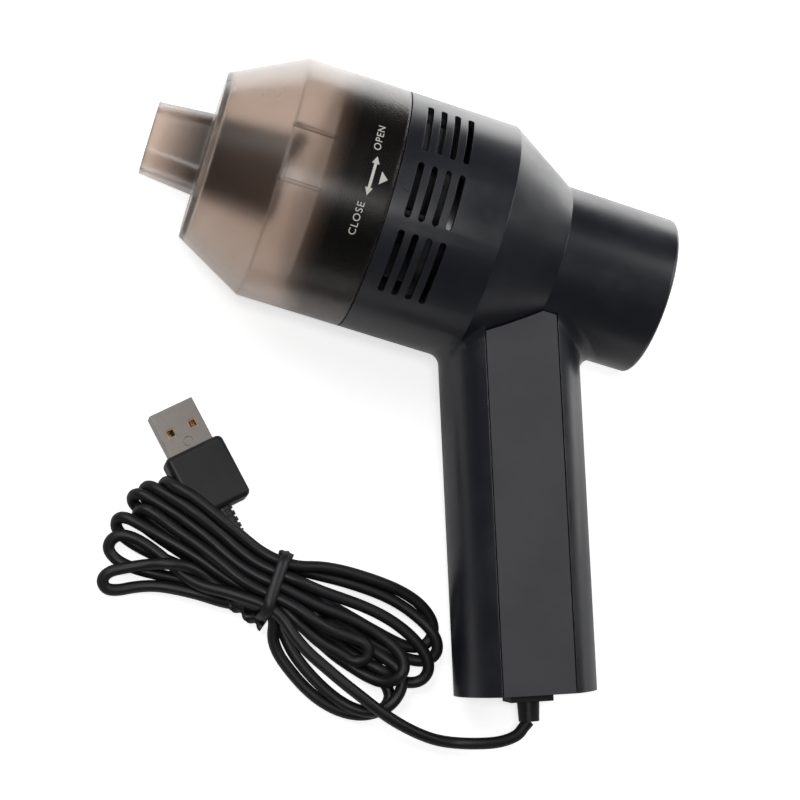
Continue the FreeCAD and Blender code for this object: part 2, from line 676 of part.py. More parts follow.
filter_form = turned("filter_form", [
    ("filter_front", "filter_bore"),
    ("filter_front", "filter_rim_radius"),
    ("0 - bead_reach - rim_bead / 2", "filter_rim_radius"),
    ("0 - bead_reach", "filter_rim_radius + rim_bead"),
    ("0 - bead_reach + rim_bead / 2", "filter_rim_radius"),
    ("seal_front", "filter_rim_radius"),
    ("seal_front", "spigot_radius"),
    ("spigot_back", "spigot_radius"),
    ("spigot_back", "spigot_bore"),
    ("grille_back", "spigot_bore"),
    ("grille_back", "filter_bore"),
])
filter_plate = rod("filter_plate", "filter_bore + filter_rim_wall / 2", "grille_front", "grille_back")
grille_windows = []
window_turn = 360 / size("window_count")
grille_rings = (
    (size("grille_hub"), size("grille_middle") - size("grille_bar") / 2),
    (size("grille_middle") + size("grille_bar") / 2, size("grille_edge")),
)
for inner, outer in grille_rings:
    # spokes keep about the same width along both rings
    span = window_turn - size("grille_spoke") * 2 * size("grille_hub") / (inner + size("grille_hub"))
    for k in range(int(size("window_count"))):
        grille_windows.append(sector(inner, outer, size("grille_front") - 1, size("grille_back") + 1,
                                     k * window_turn, span))
filter_windows = solid("filter_windows", Part.makeCompound(grille_windows))
node(cut("filter_frame", fuse("filter_stock", filter_form, filter_plate), filter_windows), "filter_frame")
node(turned("filter_cloth_form", [
    ("cloth_front", "0"),
    ("cloth_front", "filter_bore"),
    ("grille_front", "filter_bore"),
    ("grille_front", "0"),
]), "filter_cloth")
node(ring("filter_seal_form", "filter_rim_radius", "spigot_radius", "seal_front", "0 - collar_front"),
     "filter_seal")

# ---------------------------------------------------------------- bayonet collar and fan cover

collar_form = turned("collar_form", [
    ("0 - collar_front", "collar_bore"),
    ("0 - collar_front", "collar_radius"),
    ("0", "collar_radius"),
    ("collar_tail - flange_thick", "collar_radius"),
    ("collar_tail - flange_thick", "groove_radius"),
    ("collar_tail", "groove_radius"),
    ("collar_tail", "collar_wide_bore"),
    ("collar_seat", "collar_wide_bore"),
    ("collar_seat", "collar_bore"),
])
slot_front = -size("lug_front") - size("lug_play")
slot_back = -size("lug_back") + size("lug_play")
slot_span = size("lug_angle") + 2
lug_slots = []
for angle in LUG_ANGLES:
    entry = angle + size("twist_angle")
    lug_slots.append(sector(size("slot_floor"), size("body_radius"), -size("collar_front") - 1, slot_back,
                            entry, slot_span))
    lug_slots.append(sector(size("slot_floor"), size("body_radius"), slot_front, slot_back,
                            (angle + entry) / 2, slot_span + size("twist_angle")))
node(cut("front_collar", collar_form, *[solid("collar_slot", slot) for slot in lug_slots]), "front_collar")

cover_plate = ring("cover_plate", "collar_wide_bore", "intake_radius", "collar_seat", "collar_tail")
cover_bars = [
    block("cover_bar", ("collar_seat", "collar_tail"), ("0 - intake_radius - 1", "intake_radius + 1"),
          ("0 - guard_thick / 2", "guard_thick / 2")),
    block("cover_bar", ("collar_seat", "collar_tail"), ("0 - guard_thick / 2", "guard_thick / 2"),
          ("0 - intake_radius - 1", "intake_radius + 1")),
]
cover_hub = rod("cover_hub", "intake_radius / 3", "collar_seat", "collar_tail")
node(fuse("fan_cover", cover_plate, cover_hub, *cover_bars), "fan_cover")

# ---------------------------------------------------------------- fan wheel on the motor shaft

wheel = doc.addObject("PartDesign::Body", "wheel")
wheel_outline = body_sketch(wheel, "wheel_outline", "XY_Plane", [
    ("fan_front", "shaft_radius"),
    ("fan_front", "fan_hub_radius"),
    ("fan_disc_front", "fan_hub_radius"),
    ("fan_disc_front", "fan_radius"),
    ("fan_back", "fan_radius"),
    ("fan_back", "shaft_radius"),
])
wheel_turn = wheel.newObject("PartDesign::Revolution", "wheel_turn")
wheel_turn.Profile = wheel_outline
wheel_turn.ReferenceAxis = (wheel_outline, ["H_Axis"])
wheel_turn.Angle = 360
blade_outline = body_sketch(wheel, "blade_outline", "YZ_Plane", [
    ("blade_inner", "0"),
    ("fan_radius - 2 * blade_thick", "0 - blade_lean"),
    ("fan_radius - 2 * blade_thick", "blade_thick - blade_lean"),
    ("blade_inner", "blade_thick"),
], offset="fan_front")
blade = wheel.newObject("PartDesign::Pad", "blade")
blade.Profile = blade_outline
drive(blade, Length="fan_disc_front - fan_front + fan_disc / 2")
blades = wheel.newObject("PartDesign::PolarPattern", "blades")
blades.Originals = [blade]
blades.Axis = (blade_outline, ["N_Axis"])
blades.Angle = 360
drive(blades, Occurrences="blade_count")
wheel.Tip = blades
node(wheel, "fan_wheel")

node(fuse(
    "motor_shaft",
    rod("motor_shaft_rod", "shaft_radius", "fan_front - shaft_tip", "shaft_end"),
    cone("motor_shaft_tip", "shaft_radius * 0.7", "shaft_radius", "fan_front - 2 * shaft_tip",
         "fan_front - shaft_tip"),
), "motor_shaft")

# ---------------------------------------------------------------- motor

SCREW_SIDES = (-1, 1)
screw_recess = [
    cone("plate_recess", "motor_screw_radius * 1.9", "motor_screw_radius", "plate_front",
         "plate_front + motor_screw_radius * 0.9")
    for side in SCREW_SIDES
]
screw_holes = [
    rod("plate_hole", "motor_screw_radius", "plate_front - 1", "motor_front + motor_screw_length",
        f"{side} * motor_screw_offset")
    for side in SCREW_SIDES
]
for side, recess in zip(SCREW_SIDES, screw_recess):
    drive(recess, y=f"{side} * motor_screw_offset")
plate_form = ring("plate_form", "groove_radius", "nose_boss_radius", "plate_front", "motor_front")
node(cut("motor_plate", plate_form, *screw_recess, *screw_holes), "motor_plate")

can_form = turned("can_form", [
    ("boss_front", "bush_radius"),
    ("boss_front", "nose_boss_radius"),
    ("motor_front", "nose_boss_radius"),
    ("motor_front", "motor_radius"),
    ("motor_end", "motor_radius"),
    ("motor_end", "magnet_outer"),
    ("motor_front + can_wall", "magnet_outer"),
    ("motor_front + can_wall", "bush_radius"),
])
node(cut("motor_can", can_form, *screw_holes), "motor_can")

screws = []
for side in SCREW_SIDES:
    place = f"{side} * motor_screw_offset"
    head = cone("motor_screw_head", "motor_screw_radius * 1.9", "motor_screw_radius", "plate_front",
                "plate_front + motor_screw_radius * 0.9")
    drive(head, y=place)
    shank = rod("motor_screw_shank", "motor_screw_radius", "plate_front",
                "motor_front + motor_screw_length / 2", place)
    screws.append(fuse("motor_screw", head, shank))
node(fuse("motor_screws", *screws), "motor_screws")

node(ring("front_bush_form", "bush_radius", "shaft_radius + pin_play", "boss_front",
          "boss_front + bush_length"), "front_bush")
node(ring("rear_bush_form", "bush_radius", "shaft_radius + pin_play", "bell_end - bush_length",
          "bell_end"), "rear_bush")

core_ends = (size("core_front") - 1, size("core_back") + 1)
node(solid("motor_magnet_pair", Part.makeCompound([
    sector(size("magnet_inner"), size("magnet_outer"), *core_ends, angle, size("magnet_span"))
    for angle in (90, 270)
])), "motor_magnets")

core_form = ring("core_form", "core_radius", "shaft_radius", "core_front", "core_back")
POLES = (0, 120, 240)
core_slots = [
    solid("core_slot", sector(size("slot_root"), size("slot_roof"), *core_ends, angle, size("slot_span")))
    for angle in POLES
]
core_mouths = [
    solid("core_mouth", sector(size("slot_root"), size("core_radius") + 1, *core_ends, angle,
                               size("slot_mouth")))
    for angle in POLES
]
node(cut("armature_core", core_form, *core_slots, *core_mouths), "armature_core")
coil_root = size("slot_root") + size("slot_paper")
coil_roof = size("slot_roof") - size("slot_paper")
coil_span = size("slot_span") - 2 * size("slot_lining")
coil_sides = [
    solid("coil_side", sector(coil_root, coil_roof, size("core_front"), size("core_back"), angle, coil_span))
    for angle in POLES
]
node(fuse(
    "armature_coils",
    ring("coil_front", "coil_radius", "shaft_radius", "core_front - coil_length", "core_front"),
    ring("coil_back", "coil_radius", "shaft_radius", "core_back", "core_back + coil_length"),
    *coil_sides,
), "armature_coils")
node(ring("commutator_form", "commutator_radius", "shaft_radius", "commutator_front", "commutator_back"),
     "commutator")

bell_form = turned("bell_form", [
    ("bell_recess", "bell_socket"),
    ("bell_recess", "magnet_outer"),
    ("motor_end", "magnet_outer"),
    ("motor_end", "motor_radius"),
    ("bell_end", "motor_radius"),
    ("bell_end", "bush_radius"),
    ("bell_end - bush_length", "bush_radius"),
    ("bell_end - bush_length", "commutator_radius + 1"),
    ("motor_end", "commutator_radius + 1"),
    ("motor_end", "bell_socket"),
])
TAB_SIDES = (-1, 1)
tab_stems = [
    block("motor_tab", ("motor_end", "bell_end + tab_length"), ("0 - tab_width / 2", "tab_width / 2"),
          (f"{side} * tab_offset - tab_thick / 2", f"{side} * tab_offset + tab_thick / 2"))
    for side in TAB_SIDES
]
node(cut("motor_end_bell", bell_form, *tab_stems), "motor_end_bell")
node(fuse("motor_tabs", *tab_stems), "motor_tabs")
brush_blocks = fuse("brush_blocks", *[
    block("motor_brush", ("bell_recess", "bell_recess + brush_size"), limits,
          ("0 - brush_size / 2", "brush_size / 2"))
    for limits in (("brush_start", "bell_socket"), ("0 - bell_socket", "0 - brush_start"))
])
node(common("motor_brushes", brush_blocks, rod("brush_limit", "bell_socket", "bell_recess", "motor_end")),
     "motor_brushes")

node(ring("damper_form", "damper_radius", "motor_radius", "damper_station", "damper_end"), "motor_damper")

# ---------------------------------------------------------------- handle frame

# S runs across the handle towards the tail, T runs down the handle from the barrel's axis
rake = math.radians(size("rake_angle"))
across = Vector(math.cos(rake), math.sin(rake), 0)
down = Vector(math.sin(rake), -math.cos(rake), 0)
HANDLE = Placement(FreeCAD.Matrix(
    across.x, 0, down.x, size("handle_station"),
    across.y, 0, down.y, 0,
    across.z, 1, down.z, 0,
    0, 0, 0, 1,
))


def number(text):
    """The value of a size or of a plain number."""
    return size(text) if text in driving or text in derived else float(text)


def in_handle(item, s=0.0, z=0.0, t=0.0):
    """Set an object into the handle's frame, moved by s, z and t."""
    item.Placement = HANDLE.multiply(Placement(Vector(s, z, t), item.Placement.Rotation))
    return item


def handle_rod(name, radius, length, s=0.0, z=0.0, t=0.0):
    item = drive(doc.addObject("Part::Cylinder", name), Radius=radius, Height=length)
    return in_handle(item, s, z, t)


def handle_box(name, s, z, t):
    """A box in the handle's frame from three pairs of numbers."""
    item = doc.addObject("Part::Box", name)
    item.Length = s[1] - s[0]
    item.Width = z[1] - z[0]
    item.Height = t[1] - t[0]
    return in_handle(item, s[0], z[0], t[0])


def handle_bar(name, radius, start, end):
    """The handle's outline, two rounds joined by flats, between two places along it."""
    offset = size("round_offset")
    length = f"({end}) - ({start})"
    rounds = [
        handle_rod(f"{name}_round", radius, length, side * offset, 0, number(start))
        for side in (-1, 1)
    ]
    middle = handle_box(f"{name}_middle", (-offset, offset), (-size(radius), size(radius)),
                        (number(start), number(end)))
    return fuse(name, middle, *rounds)


# ---------------------------------------------------------------- housing

barrel = turned("barrel", [
    ("0", "0"),
    ("0", "body_radius"),
    ("body_end", "body_radius"),
    ("neck_station", "neck_radius"),
    ("tail_end", "tail_radius"),
    ("tail_end", "0"),
])
barrel_room = turned("barrel_room", [
    ("0 - 1", "0"),
    ("0 - 1", "body_bore"),
    ("body_end", "body_bore"),
    ("neck_station", "neck_bore"),
    ("tail_end + 1", "tail_bore"),
    ("tail_end + 1", "0"),
])
cradle = common(
    "cradle",
    ring("cradle_ring", "body_radius", "damper_radius", "cradle_start", "cradle_start + cradle_thick"),
    barrel,
)
grip_face = size("grip_face")
grip_seat = size("grip_seat")
handle_length = size("handle_length")
pocket_half = size("pocket_half")
beyond = size("body_radius")

handle_form = handle_bar("handle_form", "handle_round", "0", "handle_length")
pockets = [
    handle_box("grip_pocket", (-pocket_half, pocket_half), limits, (0, handle_length + 1))
    for limits in ((grip_seat, beyond), (-beyond, -grip_seat))
]
handle_cut = cut("handle_cut", handle_form, *pockets)
handle_cavity = size("handle_cavity")
deep = 2 * size("handle_round")
handle_room = common(
    "handle_room",
    handle_bar("handle_bore", "round_bore", "handle_floor", "gland_inner"),
    handle_box("handle_room_limit", (-deep, deep), (-handle_cavity, handle_cavity), (0, handle_length)),
)

outer_form = fuse("outer_form", barrel, handle_cut)
doc.recompute()


def on_tail_rim(edge):
    box = edge.BoundBox
    return box.XLength < 1e-6 and abs(box.XMin - size("tail_end")) < 1e-6


def on_root(edge):
    """Edges where the front and the back round of the handle leave the barrel."""
    middle = HANDLE.inverse().multVec(edge.valueAt(0.55 * edge.FirstParameter + 0.45 * edge.LastParameter))
    side = math.copysign(1, middle.x)
    off_round = math.hypot(middle.x - side * size("round_offset"), middle.y) - size("handle_round")
    return isinstance(edge.Curve, Part.BSplineCurve) and abs(off_round) < 1e-3


def rounded(name, base, picks):
    """Round edges of a solid: picks are pairs of a test for an edge and a named radius."""
    item = doc.addObject("Part::Fillet", name)
    item.Base = base
    item.Edges = [
        (place, size(radius), size(radius))
        for place, edge in enumerate(base.Shape.Edges, 1)
        for test, radius in picks
        if test(edge)
    ]
    return item


rounded_form = rounded("rounded_form", outer_form, [(on_tail_rim, "tail_rim"), (on_root, "root_round")])

screw_stations = [size("first_screw") + k * size("screw_pitch") for k in range(3)]
left_bosses, right_bosses, pilot_holes, screw_seats, housing_screws = [], [], [], [], []
for station in screw_stations:
    boss = handle_rod("left_boss", "boss_radius", "grip_seat - grip_gap", 0, 0, station)
    boss.Placement.Rotation = Rotation()
    left_bosses.append(boss)
    boss = handle_rod("right_boss", "boss_radius", "grip_seat - grip_gap", 0, 0, station)
    boss.Placement.Rotation = Rotation(Vector(1, 0, 0), 180)
    right_bosses.append(boss)
    hole = handle_rod("screw_hole", "screw_radius + screw_play", "screw_grip + grip_seat + 1",
                      0, 0, station)
    hole.Placement.Rotation = Rotation()
    hole.Placement.Base.z = -grip_seat
    pilot_holes.append(hole)
    seat = handle_rod("screw_seat_bore", "head_radius + 2 * screw_play", "grip_face", 0, 0, station)
    seat.Placement.Rotation = Rotation(Vector(1, 0, 0), 180)
    seat.Placement.Base.z = -size("screw_head_seat")
    screw_seats.append(seat)
    head = handle_rod("screw_head", "head_radius", "head_thick", 0, 0, station)
    head.Placement.Rotation = Rotation(Vector(1, 0, 0), 180)
    head.Placement.Base.z = -size("screw_head_seat")
    shank = handle_rod("screw_shank", "screw_radius", "screw_head_seat + screw_grip", 0, 0, station)
    shank.Placement.Rotation = Rotation()
    shank.Placement.Base.z = -size("screw_head_seat")
    housing_screws.append(fuse("housing_screw", head, shank))
node(fuse("housing_screws", *housing_screws), "housing_screws")

# a slot goes round the barrel and ends in two rounds
SLOT_COLUMNS = 4
slot_cutters = []
for side in (0, 180):
    for row in (-1, 0, 1):
        middle = side + row * size("vent_row_angle")
        span = size("vent_side_span" if row else "vent_span")
        half_width = size("vent_width") / 2
        end_angle = math.degrees(half_width / size("body_radius"))
        for column in range(SLOT_COLUMNS):
            station = size("vent_start") + column * size("vent_pitch")
            slot_cutters.append(sector(size("body_bore") - 1, size("body_radius") + 1, station - half_width,
                                       station + half_width, middle, span - 2 * end_angle))
            for end in (-1, 1):
                angle = math.radians(middle + end * (span / 2 - end_angle))
                outward = Vector(0, math.sin(angle), math.cos(angle))
                start = outward * (size("body_bore") - 1) + Vector(station, 0, 0)
                slot_cutters.append(Part.makeCylinder(half_width, size("shell_wall") + 2, start, outward))
vents = solid("vents", slot_cutters[0].multiFuse(slot_cutters[1:]))

seat_grooves = [
    ring("collar_groove", "groove_radius", "collar_bore", "collar_tail - flange_thick", "collar_tail"),
    ring("plate_groove", "groove_radius", "motor_radius", "plate_front", "motor_front"),
    ring("cap_groove", "cap_groove_radius", "fan_hub_radius", "cap_front", "cap_front + cap_thick / 2"),
]
gland_side = size("gland_side")
gland_hole = handle_rod("gland_hole", "gland_neck_radius", "handle_floor + 2",
                        gland_side, 0, handle_length - 3)

shell = cut("shell", fuse("shell_stock", cut("shell_form", rounded_form, barrel_room, handle_room), cradle),
            vents, *seat_grooves, gland_hole)
far = 10 * size("body_radius")
for label, side, bosses in (("housing_left", 1, left_bosses), ("housing_right", -1, right_bosses)):
    half_space = doc.addObject("Part::Box", f"{label}_side")
    half_space.Length = half_space.Width = half_space.Height = far
    half_space.Placement.Base = Vector(-far / 2, -far / 2, 0 if side > 0 else -far)
    half = fuse(f"{label}_stock", common(f"{label}_half", shell, half_space), *bosses)
    node(cut(label, half, *pilot_holes, *screw_seats), label)

# ---------------------------------------------------------------- grip panels

barrel_clear = turned("barrel_clear", [
    ("0", "0"),
    ("0", "body_radius + grip_gap"),
    ("body_end + grip_gap / 3", "body_radius + grip_gap"),
    ("neck_station + grip_gap / 3", "neck_radius + grip_gap"),
    ("tail_end + 1", "tail_radius + grip_gap"),
    ("tail_end + 1", "0"),
])
doc.recompute()
# free-form copy, whose cut through a flat panel has spline edges
panel_clear = solid("panel_clear", barrel_clear.Shape.toNurbs())
half_grip = size("grip_width") / 2
for label, limits in (
    ("grip_panel_left", (grip_seat, grip_face)),
    ("grip_panel_right", (-grip_face, -grip_seat)),
):
    slab = handle_box(f"{label}_slab", (-half_grip, half_grip), limits, (0, handle_length))
    node(cut(label, slab, panel_clear), label)

# ---------------------------------------------------------------- tail cap and rocker switch

cap_form = turned("cap_form", [
    ("cap_front", "0"),
    ("cap_front", "cap_groove_radius"),
    ("cap_front + cap_thick / 2", "cap_groove_radius"),
    ("cap_front + cap_thick / 2", "tail_bore"),
    ("cap_face", "tail_bore"),
    ("cap_face", "0"),
])
switch_hole = block("switch_hole", ("switch_back", "switch_front"),
                    ("0 - switch_body_height / 2", "switch_body_height / 2"),
                    ("0 - switch_body_width / 2", "switch_body_width / 2"))
node(cut("tail_cap", cap_form, switch_hole), "tail_cap")

switch_form = block("switch_form", ("switch_back", "cap_face"),
                    ("0 - switch_body_height / 2", "switch_body_height / 2"),
                    ("0 - switch_body_width / 2", "switch_body_width / 2"))
switch_flange = block("switch_flange", ("cap_face", "switch_front"),
                      ("0 - switch_height / 2", "switch_height / 2"),
                      ("0 - switch_width / 2", "switch_width / 2"))
switch_room = block("switch_room", ("switch_back + 2 * switch_wall", "switch_front + 1"),
                    ("0 - window_height / 2", "window_height / 2"),
                    ("0 - window_width / 2", "window_width / 2"))
pivot_bore = post("pivot_bore", "rocker_pin_radius + pin_play", "0 - switch_body_width / 2 + 0.1",
                  "switch_body_width / 2 - 0.1", "rocker_pivot")
switch_tabs = [
    block("switch_tab", ("switch_tab_end", "switch_back + switch_wall"),
          (f"{side} * switch_tab_offset - tab_thick / 2", f"{side} * switch_tab_offset + tab_thick / 2"),
          ("0 - tab_width / 2", "tab_width / 2"))
    for side in TAB_SIDES
]
switch_stock = fuse("switch_stock", switch_form, switch_flange)
node(cut("switch_case", switch_stock, switch_room, pivot_bore, *switch_tabs), "switch_case")
node(fuse("switch_tabs", *switch_tabs), "switch_tabs")

rocker = doc.addObject("PartDesign::Body", "rocker")
rocker_outline = body_sketch(rocker, "rocker_outline", "XY_Plane", [
    ("rocker_rise", "rocker_half_height"),
    ("rocker_dip", "0"),
    ("rocker_rise", "0 - rocker_half_height"),
    ("0 - rocker_dip / 2", "0 - rocker_half_height"),
    ("0 - rocker_dip", "0"),
    ("0 - rocker_dip / 2", "rocker_half_height"),
])
rocker_pad = rocker.newObject("PartDesign::Pad", "rocker_pad")
rocker_pad.Profile = rocker_outline
rocker_pad.SideType = "Symmetric"
drive(rocker_pad, Length="2 * rocker_half_width")
rocker_pins = post("rocker_pins", "rocker_pin_radius", "0 - switch_body_width / 2 + 0.3",
                   "switch_body_width / 2 - 0.3")
rocker_form = fuse("rocker_form", rocker, rocker_pins)
rocker_turn = Rotation(Vector(0, 0, 1), -size("rocker_tilt"))
rocker_form.Placement = Placement(Vector(size("rocker_pivot"), 0, 0), rocker_turn)
node(rocker_form, "switch_rocker")

# ---------------------------------------------------------------- gland and inner wiring

gland_plate = handle_box(
    "gland_plate",
    (gland_side - size("gland_length") / 2, gland_side + size("gland_length") / 2),
    (-size("gland_width") / 2, size("gland_width") / 2),
    (handle_length, size("boot_start")),
)
gland_neck = handle_rod("gland_neck", "gland_neck_radius", "handle_floor",
                        gland_side, 0, size("gland_inner"))
foot_start = size("gland_inner") - size("gland_foot_thick")
gland_foot = handle_rod("gland_foot", "gland_neck_radius + 1", "gland_foot_thick",
                        gland_side, 0, foot_start)
boot = doc.addObject("Part::Cone", "boot")
drive(boot, Radius1="boot_root_radius", Radius2="boot_tip_radius", Height="boot_length")
in_handle(boot, gland_side, 0, size("boot_start"))
lead_bore = handle_rod("lead_bore", "lead_radius",
                       "gland_foot_thick + handle_floor + gland_plate + boot_length / 2",
                       gland_side, 0, foot_start)
gland_stock = fuse("gland_stock", gland_plate, gland_neck, gland_foot, boot)
node(cut("cord_gland", gland_stock, lead_bore), "cord_gland")

lead_core = handle_rod("lead_core", "lead_radius",
                       "inner_lead_length + handle_floor + gland_plate + boot_length / 2",
                       gland_side, 0, size("inner_lead_end"))
stop_start = size("inner_lead_end") + size("stop_length")
lead_stop_bore = handle_rod("lead_stop_bore", "lead_radius", "stop_length", gland_side, 0, stop_start)
lead_stop = handle_rod("lead_stop", "stop_radius", "stop_length", gland_side, 0, stop_start)
node(lead_core, "inner_lead")
node(cut("lead_crimp", lead_stop, lead_stop_bore), "lead_crimp")


def tube(name, points, radius):
    """A round tube along straight runs joined by arcs; returns its shape and the smallest arc."""
    edges, radii = [], []
    last = points[0]
    for k in range(1, len(points) - 1):
        here = points[k]
        back, ahead = points[k - 1] - here, points[k + 1] - here
        half_turn = (math.pi - back.getAngle(ahead)) / 2
        trim = 0.45 * min(back.Length, ahead.Length)
        radii.append(trim / math.tan(half_turn))
        back, ahead = back.normalize(), ahead.normalize()
        start, end = here + back * trim, here + ahead * trim
        centre = here + (back + ahead).normalize() * (radii[-1] / math.cos(half_turn))
        top = centre + (here - centre).normalize() * radii[-1]
        edges.append(Part.LineSegment(last, start).toShape())
        edges.append(Part.Arc(start, top, end).toShape())
        last = end
    edges.append(Part.LineSegment(last, points[-1]).toShape())
    path = Part.Wire(edges)
    section = Part.Wire(Part.Circle(points[0], points[1] - points[0], radius).toShape())
    shape = path.makePipeShell([section], True, True)
    expected = math.pi * radius ** 2 * path.Length
    share = shape.Volume / expected
    tightest = min(radii)
    print(f"{name}: {path.Length:.1f} mm long, tightest arc {tightest:.1f} mm, volume share {share:.4f}")
    if abs(share - 1) > 0.01:
        raise ValueError(f"{name}: the tube's volume doesn't match its length")
    return solid(name, shape)


def handle_point(s, z, t):
    return HANDLE.multVec(Vector(s, z, t))


wire_radius = size("wire_radius")
wire_lane = size("boss_radius") + 4 * wire_radius
wire_start = size("inner_lead_end")
wire_side = wire_radius + 0.05
tab_face = size("tab_thick") / 2
switch_tab_x = size("switch_tab_end") + size("tab_length") / 2
switch_tab_y = size("switch_tab_offset") + tab_face
motor_tab_x = size("bell_end") + size("tab_length") / 2
motor_tab_z = size("tab_offset")
half_tab = size("tab_width") / 2

wire_lift = 4.0
wire_routes = {
    "supply_wire_red": [
        handle_point(gland_side, wire_side, wire_start),
        handle_point(gland_side, wire_side, wire_start - 2.6),
        handle_point(wire_lane, 1.5, wire_start - 9.4),
        handle_point(wire_lane + 0.6, 2.0, wire_start - 35),
        handle_point(wire_lane, 1.2, wire_start - 62),
        Vector(55.4, -20.5, 0.6),
        Vector(switch_tab_x - 1.2, -switch_tab_y - 2 * wire_lift, 0.3),
        Vector(switch_tab_x, -switch_tab_y - wire_lift, 0),
        Vector(switch_tab_x, -switch_tab_y, 0),
    ],
    "supply_wire_black": [
        handle_point(gland_side, -wire_side, wire_start),
        handle_point(gland_side, -wire_side, wire_start - 2.6),
        handle_point(wire_lane, -1.5, wire_start - 9.4),
        handle_point(wire_lane + 0.4, -2.2, wire_start - 35),
        handle_point(wire_lane - 1.0, -2.6, wire_start - 62),
        Vector(motor_tab_x + 1.6, -17.5, -motor_tab_z + 2.6),
        Vector(motor_tab_x + 0.3, -half_tab - 2 * wire_lift, -motor_tab_z + 0.6),
        Vector(motor_tab_x, -half_tab - wire_lift, -motor_tab_z),
        Vector(motor_tab_x, -half_tab, -motor_tab_z),
    ],
    "switch_wire": [
        Vector(switch_tab_x, switch_tab_y, 0),
        Vector(switch_tab_x, switch_tab_y + wire_lift, 0),
        Vector(switch_tab_x - 3.4, switch_tab_y + 2 * wire_lift, 2.4),
        Vector(motor_tab_x + 3.6, half_tab + 2.4 * wire_lift, motor_tab_z - 2.4),
        Vector(motor_tab_x, half_tab + wire_lift, motor_tab_z),
        Vector(motor_tab_x, half_tab, motor_tab_z),
    ],
}
for label, points in wire_routes.items():
    node(tube(label, points, wire_radius), label)

# ---------------------------------------------------------------- stance

# The tool lies on the barrel's side and on the edge beside the right grip panel at the handle's end.
edge_height = math.sqrt(size("handle_round") ** 2 - (pocket_half - size("round_offset")) ** 2)
corner = handle_point(-pocket_half, -edge_height, handle_length)
reach = math.hypot(corner.y, corner.z)
roll = math.asin(size("body_radius") / reach) - math.atan2(-corner.z, -corner.y)
rolled = Placement(Vector(0, 0, size("body_radius")), Rotation(Vector(1, 0, 0), math.degrees(roll)))
doc.recompute()

# the tool's middle in X and Y comes over the origin
extent = FreeCAD.BoundBox()
for item in NODES.values():
    extent.add(item.Shape.transformed(rolled.toMatrix()).optimalBoundingBox(False))
FLOOR = Placement(Vector(-extent.Center.x, -extent.Center.y, 0), Rotation())
for item in NODES.values():
    item.Placement = FLOOR.multiply(rolled).multiply(item.Placement)

# ---------------------------------------------------------------- USB plug

# Places from here on are in the floor's frame: under the seam, X along the barrel, Z up.
PLUG = Placement(Vector(-34.3, -58.3, size("plug_height") / 2),
                 Rotation(Vector(1, 0, 0), Vector(0.678, -0.735, 0)))


def moved(name, item, frame):
    """The same solid in another place."""
    copy = doc.addObject("Part::Compound", name)
    copy.Links = [item]
    copy.Placement = frame
    return copy


grip_end = "shell_length + plug_length"
shell_end = "shell_length + shell_insert"
shell_case = block("shell_case", ("0", shell_end), ("0 - shell_width / 2", "shell_width / 2"),
                   ("0 - shell_height / 2", "shell_height / 2"))
shell_room = block("shell_room", ("0 - 1", f"{shell_end} + 1"),
                   ("shell_sheet - shell_width / 2", "shell_width / 2 - shell_sheet"),
                   ("shell_sheet - shell_height / 2", "shell_height / 2 - shell_sheet"))
ports = [
    block("shell_port", ("port_station - port_side / 2", "port_station + port_side / 2"),
          (f"{side} * port_pitch / 2 - port_side / 2", f"{side} * port_pitch / 2 + port_side / 2"),
          ("0 - shell_height", "shell_height"))
    for side in (-1, 1)
]
dimple = post("shell_dimple", "dimple_radius", "shell_height / 2 - dimple_depth", "shell_height",
              "dimple_station")
usb_shell = cut("shell_form", shell_case, shell_room, *ports, dimple)

contact_floor = "shell_sheet - shell_height / 2 + tongue_height"
usb_tongue = block("tongue_form", ("tongue_short", shell_end), ("0 - tongue_width / 2", "tongue_width / 2"),
                   ("shell_sheet - shell_height / 2", contact_floor))
contacts = []
for k in range(int(size("contact_count"))):
    middle = f"{k - (size('contact_count') - 1) / 2} * contact_pitch"
    contacts.append(block("usb_contact", ("1.5 * tongue_short", "1.5 * tongue_short + contact_length"),
                          (f"{middle} - contact_width / 2", f"{middle} + contact_width / 2"),
                          (contact_floor, f"{contact_floor} + contact_thick")))
usb_contacts = fuse("contact_form", *contacts)

grip_box = block("grip_box", ("shell_length", grip_end), ("0 - plug_width / 2", "plug_width / 2"),
                 ("0 - plug_height / 2", "plug_height / 2"))
doc.recompute()
rounded_grip = rounded("rounded_grip", grip_box, [(lambda edge: True, "plug_corner")])
plug_neck = rod("plug_neck", "plug_neck_radius", f"{grip_end} - plug_corner", "plug_end")
neck_grooves = [
    ring("neck_groove", "plug_neck_radius + 1", "plug_neck_radius - rib_depth",
         f"{grip_end} + {k + 0.5} * rib_pitch", f"{grip_end} + {k + 0.5} * rib_pitch + rib_groove")
    for k in range(4)
]
plug_pocket = block("plug_pocket", ("0", shell_end), ("0 - shell_width / 2", "shell_width / 2"),
                    ("0 - shell_height / 2", "shell_height / 2"))
usb_grip = cut("plug_form", fuse("plug_stock", rounded_grip, plug_neck), plug_pocket, *neck_grooves)

# ---------------------------------------------------------------- hank, tie and lead

